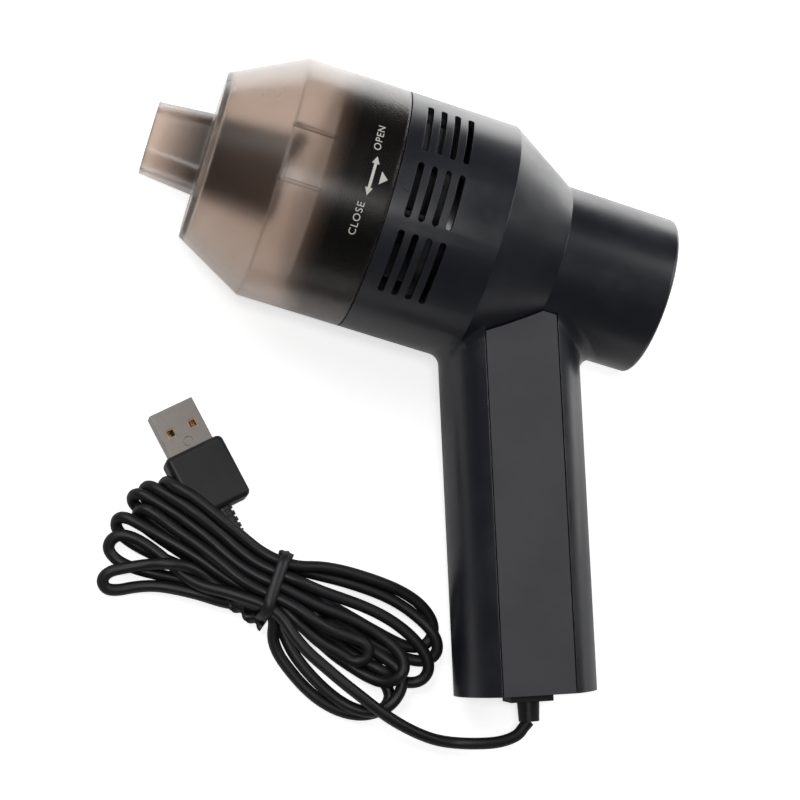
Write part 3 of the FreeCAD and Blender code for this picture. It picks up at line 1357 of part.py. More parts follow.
HANK_OUTLINE = [
    (-37.3, -82.1), (-33.5, -78.7), (-28.9, -77.1), (-23.4, -78.6), (-15.4, -82.1), (-5.6, -85.2),
    (4.3, -85.9), (14.2, -86.3), (27.2, -86.2), (37.2, -86.7), (43.7, -88.8), (46.4, -93.2),
    (48.2, -97.2), (47.3, -103.9), (44.6, -109.1), (41.2, -111.0), (40.6, -116.5), (36.3, -120.0),
    (29.5, -121.3), (22.8, -120.0), (15.1, -115.1), (6.8, -107.9), (2.3, -104.1), (-8.0, -100.0),
    (-15.4, -100.8), (-23.5, -101.2), (-31.9, -104.8), (-36.9, -106.8), (-39.1, -105.6), (-36.9, -102.5),
    (-33.9, -100.0), (-38.6, -96.6), (-39.4, -93.6), (-39.2, -89.8), (-35.9, -87.5),
]
TIE = Placement(Vector(3.0, -95.4, 0), Rotation(Vector(1, 0, 0), Vector(0.995, -0.1, 0)))
TWIST = Placement(Vector(3.0, -105.75, 2.4), Rotation(Vector(0, 0, 1), Vector(-0.95, 0.31, 0)))
hank_corners = [Vector(x, y, 0) for x, y in HANK_OUTLINE]
hank_floor = Part.Face(Part.makePolygon(hank_corners + hank_corners[:1]))
hank_stock = solid("hank_stock", hank_floor.extrude(Vector(0, 0, size("hank_height"))))

half_tie = ("0 - tie_width / 2", "tie_width / 2")
tie_top = "hank_height + tie_rise"
tie_block = block("tie_block", half_tie, ("0 - tie_span / 2", "tie_span / 2"), ("0", tie_top))
tie_core = block("tie_core", half_tie, ("tie_thick - tie_span / 2", "tie_span / 2 - tie_thick"),
                 ("tie_thick", f"{tie_top} - tie_thick"))
tie_band = moved("tie_band", cut("tie_ring", tie_block, tie_core), TIE)
tie_twist = moved("tie_twist", post("twist_rod", "twist_radius", "0", "0.66 * tie_span"), TWIST)

rooms = [
    block("plug_room", ("0", f"{grip_end} + hank_gap"),
          ("0 - plug_width / 2 - hank_gap", "plug_width / 2 + hank_gap"),
          ("0 - plug_height", "plug_height")),
    block("neck_room", ("0", "plug_end + tail_stub"),
          ("0 - plug_neck_radius - hank_gap", "plug_neck_radius + hank_gap"),
          ("0 - plug_height", "plug_height")),
]
hank_form = cut("hank_form", hank_stock, tie_band, moved("hank_room", fuse("plug_rooms", *rooms), PLUG))
tie_form = fuse("tie_form", tie_band, tie_twist)
tie_form.Refine = False

boot_face = rolled.multVec(handle_point(gland_side, 0, size("boot_end")))
boot_way = rolled.Rotation.multVec(down)
LEAD_ROUTE = [
    boot_face,
    boot_face + boot_way * 1.8,
    Vector(71.6, -116.4, 12.2),
    Vector(68.2, -118.8, 9.8),
    Vector(63.6, -120.2, 6.8),
    Vector(58.0, -121.3, 3.8),
    Vector(50.2, -121.4, 1.9),
    Vector(41.4, -119.5, 1.7),
    Vector(33.2, -117.0, 3.4),
]
lead_form = cut("lead_form", tube("lead_tube", LEAD_ROUTE, size("lead_radius")), hank_form)
tail_form = rod("tail_form", "lead_radius", "plug_end", "plug_end + tail_stub")

for label, item, frame in (
    ("usb_shell", usb_shell, PLUG),
    ("usb_tongue", usb_tongue, PLUG),
    ("usb_contacts", usb_contacts, PLUG),
    ("usb_grip", usb_grip, PLUG),
    ("cord_tail", tail_form, PLUG),
    ("cord_hank", hank_form, Placement()),
    ("cord_tie", tie_form, Placement()),
    ("cord_lead", lead_form, Placement()),
):
    node(moved(f"placed_{label}", item, FLOOR.multiply(frame)), label)

# ---------------------------------------------------------------- checks and files

doc.recompute()
for item in doc.Objects:
    if "Invalid" in item.State or "Error" in item.State:
        raise RuntimeError(f"{item.Label}: {item.State}")
for label, item in NODES.items():
    if item.Shape.isNull() or not item.Shape.isValid() or not item.Shape.Solids:
        raise RuntimeError(f"{label}: no valid solid")
    if item.Label != label:
        raise RuntimeError(f"{label}: the label was changed to {item.Label}")
    print(f"{label}: {len(item.Shape.Solids)} solid(s), {item.Shape.Volume:.1f} mm3")
print(f"roll {math.degrees(roll):.3f} degrees, floor shift {FLOOR.Base.x:.3f}, {FLOOR.Base.y:.3f}")

os.makedirs("parts", exist_ok=True)
for label, item in NODES.items():
    item.Shape.exportStep(f"parts/{label}.step")
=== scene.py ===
"""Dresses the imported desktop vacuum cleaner: finishes, printed marks, the tied lead, its tie and the plug."""

import math

import bmesh
import bpy
from mathutils import Matrix, Vector


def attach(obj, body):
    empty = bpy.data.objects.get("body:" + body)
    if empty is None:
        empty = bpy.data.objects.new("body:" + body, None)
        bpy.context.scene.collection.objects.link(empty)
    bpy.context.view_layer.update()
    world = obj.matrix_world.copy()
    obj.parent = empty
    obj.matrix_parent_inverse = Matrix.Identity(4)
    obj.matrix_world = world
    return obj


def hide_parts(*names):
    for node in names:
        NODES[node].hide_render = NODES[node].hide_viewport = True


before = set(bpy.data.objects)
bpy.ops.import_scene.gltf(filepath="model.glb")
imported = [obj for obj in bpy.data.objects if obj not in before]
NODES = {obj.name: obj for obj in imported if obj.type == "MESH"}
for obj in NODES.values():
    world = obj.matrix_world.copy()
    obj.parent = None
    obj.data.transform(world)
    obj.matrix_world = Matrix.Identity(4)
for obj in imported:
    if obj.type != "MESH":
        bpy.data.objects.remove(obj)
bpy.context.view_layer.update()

bl_info = {
    "name": "Desktop vacuum cleaner",
    "version": (1, 0, 0),
    "blender": (4, 5, 0),
    "location": "3D View > Sidebar > Vacuum",
    "description": "Builds the looks of a small pistol-shaped vacuum cleaner around its solids",
    "category": "Object",
}

# ---------------------------------------------------------------- places and sizes

# lengths are in millimetres and angles in degrees, apart from those whose comment says otherwise
MM = 0.001
BARREL_RADIUS = 31.0
# the tool and its lead lie on the floor; this shift puts them in the middle of the frame
SHIFT = Vector((-14.332, 41.101, 0.0))


def on_floor(*place):
    """A place on or over the floor, in metres of the frame."""
    return (SHIFT + Vector(place)) * MM


def laid(place, turn, axis):
    """Frame of a thing that lies at a place, turned round an axis by an angle in radians."""
    return Matrix.Translation(on_floor(*place)) @ Matrix.Rotation(turn, 4, axis)


# the tool lies on its side, a little rolled; the barrel's frame has X along the barrel from the seam
# and Y away from the handle
ROLL = 8.715
TOOL = laid((0, 0, BARREL_RADIUS), math.radians(ROLL), "X")
# the plug's frame has X along the plug and the tie's along the hank; both turns are in radians
PLUG_TURN = math.atan2(-0.735, 0.678)
PLUG = laid((-34.3, -58.3, 4.0), PLUG_TURN, "Z")
TIE = laid((3.0, -95.4, 0), math.atan2(-0.1, 0.995), "Z")

# printed words: text, station along the barrel from the seam, and angle round it
WORDS = (("OPEN", -6.5, 18.5), ("CLOSE", -6.6, -20.2))
ARROW_STATION = -6.0
POINTER_STATION = -3.1
# half the pointer's height, as a share of its side
POINTER_RISE = 0.28
# raised mark at the seam: corners, station, height, and how deep it sits in the housing
LOCK_CORNERS = ((-1.3, -0.9), (1.3, -0.9), (0.0, 1.1))
LOCK_STATION = 2.4
LOCK_HEIGHT = 0.3
LOCK_SUNK = 0.05
# flat marks are cut into steps of this width before they are bent round the barrel
BEND_STEP = 0.6

# rocker: its pivot's station, its turn at rest, half its length, the rise of each face over that half,
# and the height of its letters over the pivot; then the letters' size and thickness
ROCKER_STATION = 73.9
ROCKER_TURN = -8
ROCKER_HALF = 4.75
ROCKER_RISE = 1.0
ROCKER_FACE = 2.6
ROCKER_LETTER = 2.4
ROCKER_INK = 0.04

# windows in the plug's shell: side, distance from each other and from the shell's front,
# and height of the shell's face
PORT_SIDE, PORT_PITCH, PORT_STATION, SHELL_TOP = 2.3, 6.2, 6.3, 2.25
# frames in the windows: gap to the window, width of the bar, depth, and how far the foot lies below that face
RIM_GAP, RIM_BAR, RIM_DEPTH, RIM_SET = 0.01, 0.27, 0.3, 0.42

# tie: width, height and corner of its loop, height of its foot over the floor, and sway along the hank
TIE_LOOP = (18.0, 10.2, 4.2)
TIE_LIFT = 0.6
TIE_SWAY = 0.3
# how much paler the tie's coating is than the lead, and how far each twisted strip lies
# from their middle line, in thicknesses of the strip
TIE_PALER = 1.6
TWIST_OFFSET = 0.6
TWIST_STEPS = 60
# ends of the twisted strips and of the strain relief, in metres
TWIST_START = on_floor(3.4, -105.4, 2.6)
TWIST_END = on_floor(-9.0, -100.9, 3.0)

# camera: place in metres, directions to its right, up and ahead, focal length and picture width in pixels,
# and width of its sensor
CAMERA_PLACE = on_floor(-54.02, -181.38, 464.59)
CAMERA_RIGHT = Vector((0.9453, 0.2312, 0.2302))
CAMERA_UP = Vector((-0.2855, 0.9277, 0.2405))
CAMERA_AHEAD = Vector((0.158, 0.2931, -0.9429))
CAMERA_FOCAL = 1852
CAMERA_WIDTH = 800
CAMERA_SENSOR = 36

# stretches of the frame's X over which painted shade changes: towards the nozzle's root and behind it,
# where the cup laps over the filter, and along the filter's rim; the shade is painted into the cup's and the
# rim's colour
PAINTED_SHADE_ROOT, PAINTED_SHADE_ROOT_END, PAINTED_SHADE_LAP, PAINTED_SHADE_RIM = (-71.2, -60.5), (-59.7, -58.7), (-31.5, -25.5), (-31.2, -26.2)

# lamps: name, place and side in metres, power in watts
LAMPS = (
    ("top_left", (-0.45, 0.25, 0.75), 0.5, 2.4),
    ("top_right", (0.6, 0.35, 0.7), 0.5, 2.4),
    ("front", (-0.10, -0.16, 0.72), 0.1, 1.1),
)
# floor: half its side in metres, its own light as it is seen, and the stretch of Y in metres
# over which its light in reflections sets in
FLOOR_REACH = 3.0
FLOOR_GLOW = 0.7
SHEEN_FROM, SHEEN_FULL = 0.0, 0.2
# world: heights between which its light changes, from 0 at the horizon to 1 overhead, its strength at each,
# and the strength that makes the Background node's own grey of 0.05 white
SKY_LOW, SKY_HIGH = 0.20, 0.75
SKY_LOW_STRENGTH, SKY_HIGH_STRENGTH = 1.7, 0.74
SKY_WHITE = 20.0

# the lead's route: strain relief, seven turns of the hank, plug; control points of one spline
LEAD_ROUTE = (
    (73.2, -112.3, 13.8), (72.4, -113.8, 13.1), (71.6, -116.4, 12.2), (68.2, -118.8, 9.8),
    (63.6, -120.2, 6.8), (58.0, -121.3, 4.4), (52.6, -121.9, 4.8), (47.1, -121.5, 5.9), (41.6, -120.5, 7.1),
    (36.2, -118.9, 8.1), (30.8, -116.8, 8.8), (25.4, -114.6, 9.1), (20.0, -112.1, 9.2), (14.8, -109.6, 9.1),
    (10.3, -106.4, 8.9), (6.5, -102.8, 8.9), (2.1, -101.2, 8.9), (-3.4, -100.7, 8.3), (-9.2, -100.4, 7.3),
    (-14.5, -100.5, 5.9), (-18.8, -99.2, 4.4), (-23.2, -96.8, 4.2), (-28.6, -94.5, 4.6),
    (-33.5, -93.0, 4.7), (-37.2, -93.0, 4.5), (-39.3, -94.7, 3.4), (-39.4, -97.1, 2.1), (-36.8, -99.0, 1.5),
    (-32.6, -99.9, 1.5), (-26.8, -99.9, 1.5), (-21.0, -99.4, 1.5), (-15.1, -99.7, 1.5), (-9.3, -99.8, 1.4),
    (-3.9, -99.0, 2.0), (1.2, -98.1, 2.8), (5.7, -99.3, 2.8), (10.2, -100.3, 1.4), (14.5, -100.8, 3.1),
    (19.1, -100.6, 4.7), (24.2, -102.1, 4.4), (30.0, -103.6, 4.4), (35.4, -105.3, 4.6), (39.3, -107.0, 5.5),
    (41.2, -110.0, 5.7), (41.0, -113.7, 4.9), (39.1, -117.2, 4.4), (35.7, -119.3, 4.5), (31.3, -119.8, 4.3),
    (26.5, -118.6, 3.6), (21.5, -116.3, 3.4), (16.6, -113.3, 3.2), (12.3, -109.9, 2.8), (8.9, -105.6, 2.3),
    (5.9, -102.3, 2.6), (1.8, -101.2, 2.8), (-3.2, -101.7, 2.3), (-8.5, -102.3, 2.8), (-14.0, -102.1, 3.4),
    (-19.5, -102.2, 2.8), (-25.0, -102.6, 1.9), (-30.0, -104.2, 1.5), (-34.4, -106.5, 1.4),
    (-37.3, -106.8, 1.8), (-38.7, -105.0, 3.0), (-37.6, -102.8, 4.1), (-34.2, -101.0, 4.4),
    (-29.2, -98.8, 5.3), (-24.7, -97.6, 7.2), (-20.5, -96.7, 7.0), (-16.1, -97.0, 5.2), (-11.5, -98.5, 4.2),
    (-6.5, -100.3, 4.7), (-1.1, -101.1, 5.6), (3.2, -101.3, 5.9), (5.6, -103.6, 5.3), (6.2, -107.6, 3.4),
    (8.8, -111.1, 2.2), (13.0, -114.4, 1.9), (17.8, -117.5, 1.6), (22.7, -119.7, 1.5), (27.8, -120.8, 1.5),
    (32.7, -120.6, 1.5), (36.8, -119.0, 1.5), (39.3, -116.4, 1.5), (39.6, -113.2, 1.5), (36.5, -110.0, 1.5),
    (33.6, -105.9, 1.5), (29.2, -104.1, 1.5), (23.5, -102.7, 1.5), (18.7, -100.3, 1.5), (14.3, -97.6, 1.5),
    (9.3, -97.3, 1.5), (5.0, -95.8, 3.0), (0.3, -95.2, 2.8), (-4.8, -96.2, 1.7), (-10.1, -97.0, 1.5),
    (-15.7, -96.8, 1.5), (-21.5, -96.0, 1.5), (-27.3, -95.3, 1.5), (-33.0, -94.2, 1.5), (-37.2, -92.6, 1.4),
    (-39.2, -90.8, 2.3), (-39.1, -89.0, 4.2), (-36.7, -88.8, 5.6), (-32.9, -89.7, 5.5), (-27.3, -91.0, 5.1),
    (-21.8, -92.5, 5.6), (-16.1, -94.2, 6.1), (-10.8, -96.3, 6.2), (-5.6, -97.8, 6.0), (-0.0, -98.1, 5.6),
    (4.6, -98.7, 5.9), (8.5, -101.5, 7.2), (13.2, -104.0, 6.9), (18.1, -106.4, 6.3), (23.6, -107.3, 5.3),
    (27.6, -108.4, 5.2), (30.1, -107.5, 6.1), (30.7, -105.3, 7.0), (29.1, -103.3, 7.6), (25.3, -103.0, 7.3),
    (20.0, -102.9, 8.0), (15.1, -101.9, 9.2), (9.8, -99.9, 9.4), (4.6, -98.6, 8.9), (-0.9, -97.9, 8.6),
    (-6.2, -96.6, 8.9), (-11.3, -94.1, 8.6), (-16.4, -91.8, 7.9), (-21.7, -89.6, 6.6), (-26.8, -87.7, 6.5),
    (-31.3, -86.0, 7.1), (-34.0, -85.6, 6.2), (-34.9, -86.7, 4.1), (-33.7, -88.4, 2.4), (-30.2, -89.9, 1.9),
    (-24.9, -91.8, 2.3), (-19.3, -93.7, 2.8), (-13.9, -94.6, 3.1), (-8.2, -95.0, 3.8), (-2.8, -95.1, 5.4),
    (2.3, -95.2, 5.8), (6.5, -96.4, 5.6), (9.6, -99.9, 4.7), (13.1, -103.4, 4.2), (18.0, -105.2, 2.7),
    (22.8, -107.5, 2.0), (27.8, -109.3, 2.4), (32.7, -111.0, 3.7), (36.5, -111.6, 5.6), (38.9, -110.3, 7.7),
    (40.2, -107.8, 8.8), (39.5, -104.7, 7.8), (36.9, -102.2, 6.7), (32.5, -100.3, 6.4), (27.1, -98.9, 6.8),
    (21.4, -98.0, 7.2), (15.5, -97.7, 7.6), (9.8, -96.7, 8.2), (4.1, -95.5, 8.7), (-1.4, -94.8, 8.5),
    (-6.6, -93.3, 7.7), (-11.6, -90.9, 7.2), (-16.8, -88.3, 7.5), (-21.9, -86.2, 7.5), (-27.1, -84.2, 6.5),
    (-32.5, -82.7, 6.5), (-35.7, -82.0, 5.8), (-37.2, -82.5, 3.8), (-36.6, -84.0, 1.7), (-33.6, -85.4, 1.5),
    (-28.3, -87.7, 1.5), (-22.7, -89.7, 1.5), (-17.4, -91.6, 1.5), (-11.6, -92.4, 1.5), (-6.2, -93.2, 1.5),
    (-0.8, -92.4, 2.6), (4.1, -92.4, 2.9), (8.1, -93.9, 3.4), (11.4, -97.4, 4.9), (14.2, -101.2, 6.4),
    (17.7, -103.3, 5.7), (22.6, -104.5, 3.8), (27.4, -106.2, 2.8), (31.9, -107.7, 3.6), (36.2, -108.7, 4.6),
    (40.3, -109.5, 2.5), (44.2, -109.3, 2.7), (46.7, -107.6, 3.6), (47.2, -104.7, 4.8), (45.3, -101.7, 5.6),
    (41.5, -98.9, 6.1), (36.6, -96.6, 6.4), (31.2, -95.1, 6.7), (25.6, -94.3, 6.9), (19.7, -94.0, 7.3),
    (13.9, -93.8, 8.1), (8.5, -93.2, 9.3), (3.0, -92.5, 8.8), (-2.6, -91.6, 8.4), (-7.7, -89.7, 8.3),
    (-12.8, -87.1, 8.4), (-18.2, -84.9, 9.2), (-22.9, -83.1, 9.8), (-27.6, -81.4, 8.1), (-32.2, -79.8, 6.7),
    (-34.5, -79.3, 4.8), (-34.9, -80.7, 2.6), (-33.3, -82.5, 1.4), (-29.1, -84.2, 1.5), (-23.4, -86.4, 1.4),
    (-18.7, -88.1, 2.1), (-14.2, -90.5, 4.0), (-9.6, -92.1, 4.2), (-4.4, -92.2, 4.8), (1.3, -92.2, 5.8),
    (7.0, -92.8, 6.3), (11.3, -93.7, 5.8), (15.4, -96.3, 3.9), (20.7, -98.5, 2.9), (25.8, -100.2, 1.8),
    (31.4, -101.7, 1.6), (37.2, -103.0, 1.7), (42.5, -103.5, 1.7), (46.2, -102.9, 2.1), (48.4, -100.8, 3.2),
    (48.0, -98.0, 4.4), (45.5, -95.3, 5.0), (41.2, -92.8, 4.5), (36.1, -90.8, 4.4), (30.6, -89.7, 4.5),
    (24.8, -89.3, 4.7), (18.9, -89.2, 4.9), (13.0, -89.5, 5.0), (7.2, -89.7, 5.5), (1.4, -89.2, 5.5),
    (-4.4, -89.5, 5.6), (-9.3, -89.3, 5.2), (-14.3, -87.2, 4.9), (-19.5, -86.7, 4.7), (-23.5, -85.2, 4.3),
    (-27.3, -82.1, 2.9), (-29.9, -79.9, 2.9), (-30.6, -77.9, 4.8), (-30.0, -77.3, 7.5), (-28.0, -78.7, 9.5),
    (-23.7, -79.6, 10.2), (-18.5, -81.8, 10.3), (-13.2, -84.1, 9.9), (-7.8, -86.4, 9.0), (-2.6, -88.5, 8.4),
    (2.5, -89.5, 8.5), (7.5, -89.5, 8.4), (12.8, -87.8, 7.5), (18.3, -87.0, 6.8), (24.1, -86.9, 6.4),
    (30.0, -87.1, 6.0), (35.6, -87.7, 5.3), (40.6, -89.1, 4.5), (44.5, -91.4, 3.4), (46.6, -94.3, 2.2),
    (46.3, -97.5, 1.6), (44.1, -99.8, 1.5), (40.3, -100.5, 1.5), (35.0, -99.5, 1.5), (29.2, -98.1, 1.5),
    (23.6, -96.6, 1.5), (17.8, -95.2, 1.5), (12.7, -93.5, 1.6), (8.0, -90.6, 2.3), (3.2, -89.3, 2.7),
    (-2.1, -88.8, 2.1), (-6.2, -87.8, 3.4), (-9.8, -84.9, 4.0),
)


# ---------------------------------------------------------------- sizes and colours that a user would change

def length(name, description, millimetres):
    """A length property; its default is given in millimetres."""
    return bpy.props.FloatProperty(name=name, description=description, default=millimetres * MM, min=0.0,
                                   unit="LENGTH", subtype="DISTANCE", precision=5)


def colour(name, description, red, green, blue):
    """A colour property."""
    return bpy.props.FloatVectorProperty(name=name, description=description, default=(red, green, blue),
                                         min=0.0, max=1.0, size=3, subtype="COLOR")


class VacuumMarks(bpy.types.PropertyGroup):
    """Sizes of the printed marks."""
    letter: length("Letter height", "Type size of the twist-lock words", 2.55)
    arrow_length: length("Arrow length", "Length of the double arrow round the cup", 9.9)
    arrow_head: length("Arrow head", "Width and length of each arrow head", 1.9)
    arrow_shaft: length("Arrow shaft", "Width of the arrow's shaft", 0.7)
    pointer: length("Pointer", "Side of the triangle that points at the housing", 3.3)
    ink: length("Ink", "Thickness of the print", 0.04)


class VacuumLead(bpy.types.PropertyGroup):
    """Sizes of the lead and its tie."""
    diameter: length("Diameter", "Outside diameter of the lead", 3.0)
    tie_width: length("Tie width", "Width of the twist tie", 3.0)
    tie_wire: length("Tie wire", "Thickness of the tie over its wire", 1.1)
    tie_wing: length("Tie wing", "Thickness of the tie beside its wire", 0.45)
    twist_pitch: length("Twist pitch", "Length of one full turn of the twisted ends", 9.0)


class VacuumColours(bpy.types.PropertyGroup):
    """Base colours of the finishes."""
    smoke: colour("Smoke", "Tint of the dust cup", 0.715, 0.615, 0.55)
    duct: colour("Duct", "Inlet duct", 0.11, 0.08, 0.064)
    housing: colour("Housing", "Moulded housing", 0.0115, 0.0125, 0.0185)
    panel: colour("Panel", "Grip panels", 0.058, 0.057, 0.064)
    print: colour("Print", "Printed marks", 0.76, 0.74, 0.67)
    jacket: colour("Jacket", "Jacket of the lead", 0.0095, 0.0098, 0.0115)
    steel: colour("Plug steel", "Shell of the plug", 0.46, 0.415, 0.385)
    brass: colour("Brass", "Windows and contacts of the plug", 0.72, 0.48, 0.26)
    floor: colour("Floor", "Floor and backdrop", 0.90, 0.90, 0.90)
    sheen: bpy.props.FloatProperty(name="Floor in reflections", default=2.6, min=0.0, max=10.0,
                                   description="Extra light of the floor where the surfaces mirror it")


def looks():
    """The colours that are set in the scene."""
    return bpy.context.scene.vacuum_colours


# ---------------------------------------------------------------- shader node groups

def new_group(name, inputs, outputs):
    """An empty shader group with named number inputs and outputs."""
    tree = bpy.data.node_groups.new(name, "ShaderNodeTree")
    for label, default in inputs:
        socket = tree.interface.new_socket(label, in_out="INPUT", socket_type="NodeSocketFloat")
        socket.default_value = default
        socket.min_value = 0.0
    for label in outputs:
        tree.interface.new_socket(label, in_out="OUTPUT", socket_type="NodeSocketFloat")
    return tree, tree.nodes.new("NodeGroupInput"), tree.nodes.new("NodeGroupOutput")


def noise_node(tree, scale, detail, rough=0.55):
    """A Noise Texture node without its vector."""
    node = tree.nodes.new("ShaderNodeTexNoise")
    node.inputs["Scale"].default_value = scale
    node.inputs["Detail"].default_value = detail
    node.inputs["Roughness"].default_value = rough
    return node


def math_node(tree, operation, first, second):
    """A Math node; each operand is a socket or a number."""
    node = tree.nodes.new("ShaderNodeMath")
    node.operation = operation
    for slot, value in enumerate((first, second)):
        if isinstance(value, (int, float)):
            node.inputs[slot].default_value = value
        else:
            tree.links.new(value, node.inputs[slot])
    return node.outputs[0]


def range_node(tree, value, low, high, start=0.0, end=1.0):
    """A value that goes from start to end while the given one goes from low to high."""
    node = tree.nodes.new("ShaderNodeMapRange")
    tree.links.new(value, node.inputs["Value"])
    for label, number in (("From Min", low), ("From Max", high), ("To Min", start), ("To Max", end)):
        node.inputs[label].default_value = number
    return node.outputs["Result"]


def axis_of(tree, vector, axis):
    """One axis of a vector."""
    node = tree.nodes.new("ShaderNodeSeparateXYZ")
    tree.links.new(vector, node.inputs[0])
    return node.outputs[axis]


def coordinates(tree, kind="Object"):
    """Coordinates of the shaded point."""
    return tree.nodes.new("ShaderNodeTexCoord").outputs[kind]


def grain_group():
    """Height of a spark-eroded mould surface: fine grain over a slow waviness."""
    tree, inputs, outputs = new_group("Mould grain", (("Grain scale", 2200.0), ("Wave scale", 60.0),
                                                      ("Wave share", 0.5)), ("Height",))
    place = coordinates(tree)
    fine, wave = noise_node(tree, 1.0, 2.0), noise_node(tree, 1.0, 1.0)
    for node, label in ((fine, "Grain scale"), (wave, "Wave scale")):
        tree.links.new(place, node.inputs["Vector"])
        tree.links.new(inputs.outputs[label], node.inputs["Scale"])
    slow = math_node(tree, "MULTIPLY", wave.outputs["Fac"], inputs.outputs["Wave share"])
    tree.links.new(math_node(tree, "ADD", fine.outputs["Fac"], slow), outputs.inputs["Height"])
    return tree


def handling_group():
    """Mask of faint smudges and polish from handling."""
    tree, inputs, outputs = new_group("Handling", (("Smudge scale", 45.0),), ("Smudge",))
    smudge = noise_node(tree, 1.0, 4.0, 0.6)
    tree.links.new(coordinates(tree), smudge.inputs["Vector"])
    tree.links.new(inputs.outputs["Smudge scale"], smudge.inputs["Scale"])
    tree.links.new(range_node(tree, smudge.outputs["Fac"], 0.42, 0.66), outputs.inputs["Smudge"])
    return tree


GROUP_MAKERS = {"grain": grain_group, "handling": handling_group}
GROUPS = {}


def group(name):
    """A shader group, made when it is first asked for."""
    if name not in GROUPS:
        GROUPS[name] = GROUP_MAKERS[name]()
    return GROUPS[name]


# ---------------------------------------------------------------- materials

class Finish:
    """A material around one Principled shader."""

    def __init__(self, name, base, rough, **sockets):
        self.material = bpy.data.materials.new(name)
        self.material.use_nodes = True
        self.tree = self.material.node_tree
        self.shader = self.tree.nodes["Principled BSDF"]
        self.shader.inputs["Base Color"].default_value = (*base, 1.0)
        self.shader.inputs["Roughness"].default_value = rough
        for label, value in sockets.items():
            self.shader.inputs[label.replace("_", " ")].default_value = value
        self.base = base

    def use(self, name, **sockets):
        """A node of a shared shader group, with its inputs set."""
        node = self.tree.nodes.new("ShaderNodeGroup")
        node.node_tree = group(name)
        for label, value in sockets.items():
            node.inputs[label.replace("_", " ")].default_value = value
        return node

    def place(self, scale=None, turn=None):
        """Object coordinates, stretched and turned if asked for."""
        plain = coordinates(self.tree)
        if scale is None:
            return plain
        mapping = self.tree.nodes.new("ShaderNodeMapping")
        mapping.inputs["Scale"].default_value = scale
        if turn is not None:
            mapping.inputs["Rotation"].default_value = turn
        self.tree.links.new(plain, mapping.inputs["Vector"])
        return mapping.outputs["Vector"]

    def band(self, low, high, start=0.0, end=1.0):
        """A mask that changes along X, from start at low to end at high, in millimetres of the frame."""
        return range_node(self.tree, axis_of(self.tree, self.place(), "X"), low * MM, high * MM, start, end)

    def noise(self, scale, detail=3.0, vector=None):
        """A soft random mask."""
        node = noise_node(self.tree, scale, detail)
        self.tree.links.new(vector or self.place(), node.inputs["Vector"])
        return node.outputs["Fac"]

    def colours(self, mask, first, second):
        """Base colour that goes from one shade to another with a mask; shades are factors of the base."""
        mix = self.tree.nodes.new("ShaderNodeMix")
        mix.data_type = "RGBA"
        self.tree.links.new(mask, mix.inputs["Factor"])
        colour_a, colour_b, colour_out = mix.inputs[6], mix.inputs[7], mix.outputs[2]
        for socket, shade in ((colour_a, first), (colour_b, second)):
            socket.default_value = (*(min(1.0, part * shade) for part in self.base), 1.0)
        self.tree.links.new(colour_out, self.shader.inputs["Base Color"])

    def roughness(self, mask, low, high):
        """Roughness that goes from low to high with a mask."""
        self.tree.links.new(range_node(self.tree, mask, 0.0, 1.0, low, high), self.shader.inputs["Roughness"])

    def bump(self, height, depth, edge=0.0):
        """Bump of a depth in millimetres; edge is the radius to which sharp edges look rounded."""
        bump = self.tree.nodes.new("ShaderNodeBump")
        bump.inputs["Distance"].default_value = depth * MM
        self.tree.links.new(height, bump.inputs["Height"])
        if edge:
            soft = self.tree.nodes.new("ShaderNodeBevel")
            soft.samples = 4
            soft.inputs["Radius"].default_value = edge * MM
            self.tree.links.new(soft.outputs["Normal"], bump.inputs["Normal"])
        self.tree.links.new(bump.outputs["Normal"], self.shader.inputs["Normal"])


def moulded(name, base, rough, grain=0.02, edge=0.2, grain_scale=2600.0, **sockets):
    """Moulded plastic: fine grain, and smudges that change the gloss and the shade."""
    finish = Finish(name, base, rough, **sockets)
    surface = finish.use("grain", Grain_scale=grain_scale)
    wear = finish.use("handling")
    finish.colours(wear.outputs["Smudge"], 0.92, 1.15)
    finish.roughness(wear.outputs["Smudge"], rough - 0.04, rough + 0.07)
    finish.bump(surface.outputs["Height"], grain, edge=edge)
    return finish.material


def metal(name, base, rough, stretch=(1.0, 40.0, 40.0), turn=None, scale=900.0, edge=0.15):
    """Brushed or rolled metal; the grain runs along the direction that is stretched least."""
    finish = Finish(name, base, rough, Metallic=1.0)
    lines = finish.noise(scale, 4.0, finish.place(stretch, turn))
    finish.colours(lines, 0.75, 1.1)
    finish.roughness(lines, rough - 0.06, rough + 0.12)
    finish.bump(lines, 0.01, edge=edge)
    return finish.material


def dress(material, *names):
    """Give CAD nodes a finish."""
    for name in names:
        node = NODES[name]
        if not node.material_slots:
            node.data.materials.append(material)
        for place in node.material_slots:
            place.material = material


# ---------------------------------------------------------------- meshes

def shown(name, data):
    """An object in the scene with the given mesh, curve, lamp or camera."""
    item = bpy.data.objects.new(name, data)
    bpy.context.scene.collection.objects.link(item)
    return item


def piece_of(name, data, body):
    """A finished piece that rides on its body."""
    piece = shown(name, data)
    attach(piece, body)
    return piece


def closed_mesh(name, bm):
    """The mesh of a bmesh, with its faces turned outwards."""
    bmesh.ops.recalc_face_normals(bm, faces=bm.faces)
    data = bpy.data.meshes.new(name)
    bm.to_mesh(data)
    bm.free()
    return data


def mesh_object(name, bm, body, material, smooth=False):
    """A piece of one material made from a bmesh."""
    data = closed_mesh(name, bm)
    data.materials.append(material)
    for face in data.polygons:
        face.use_smooth = smooth
    return piece_of(name, data, body)


def wrapped(point, station, angle, radius):
    """A point of a drawing (along, up, out) laid round the barrel: along runs to +Y, up to the nozzle."""
    along, up, out = point
    turn = math.radians(angle) + along / (radius * MM)
    reach = radius * MM + out
    return TOOL @ Vector((station * MM - up, reach * math.sin(turn), reach * math.cos(turn)))


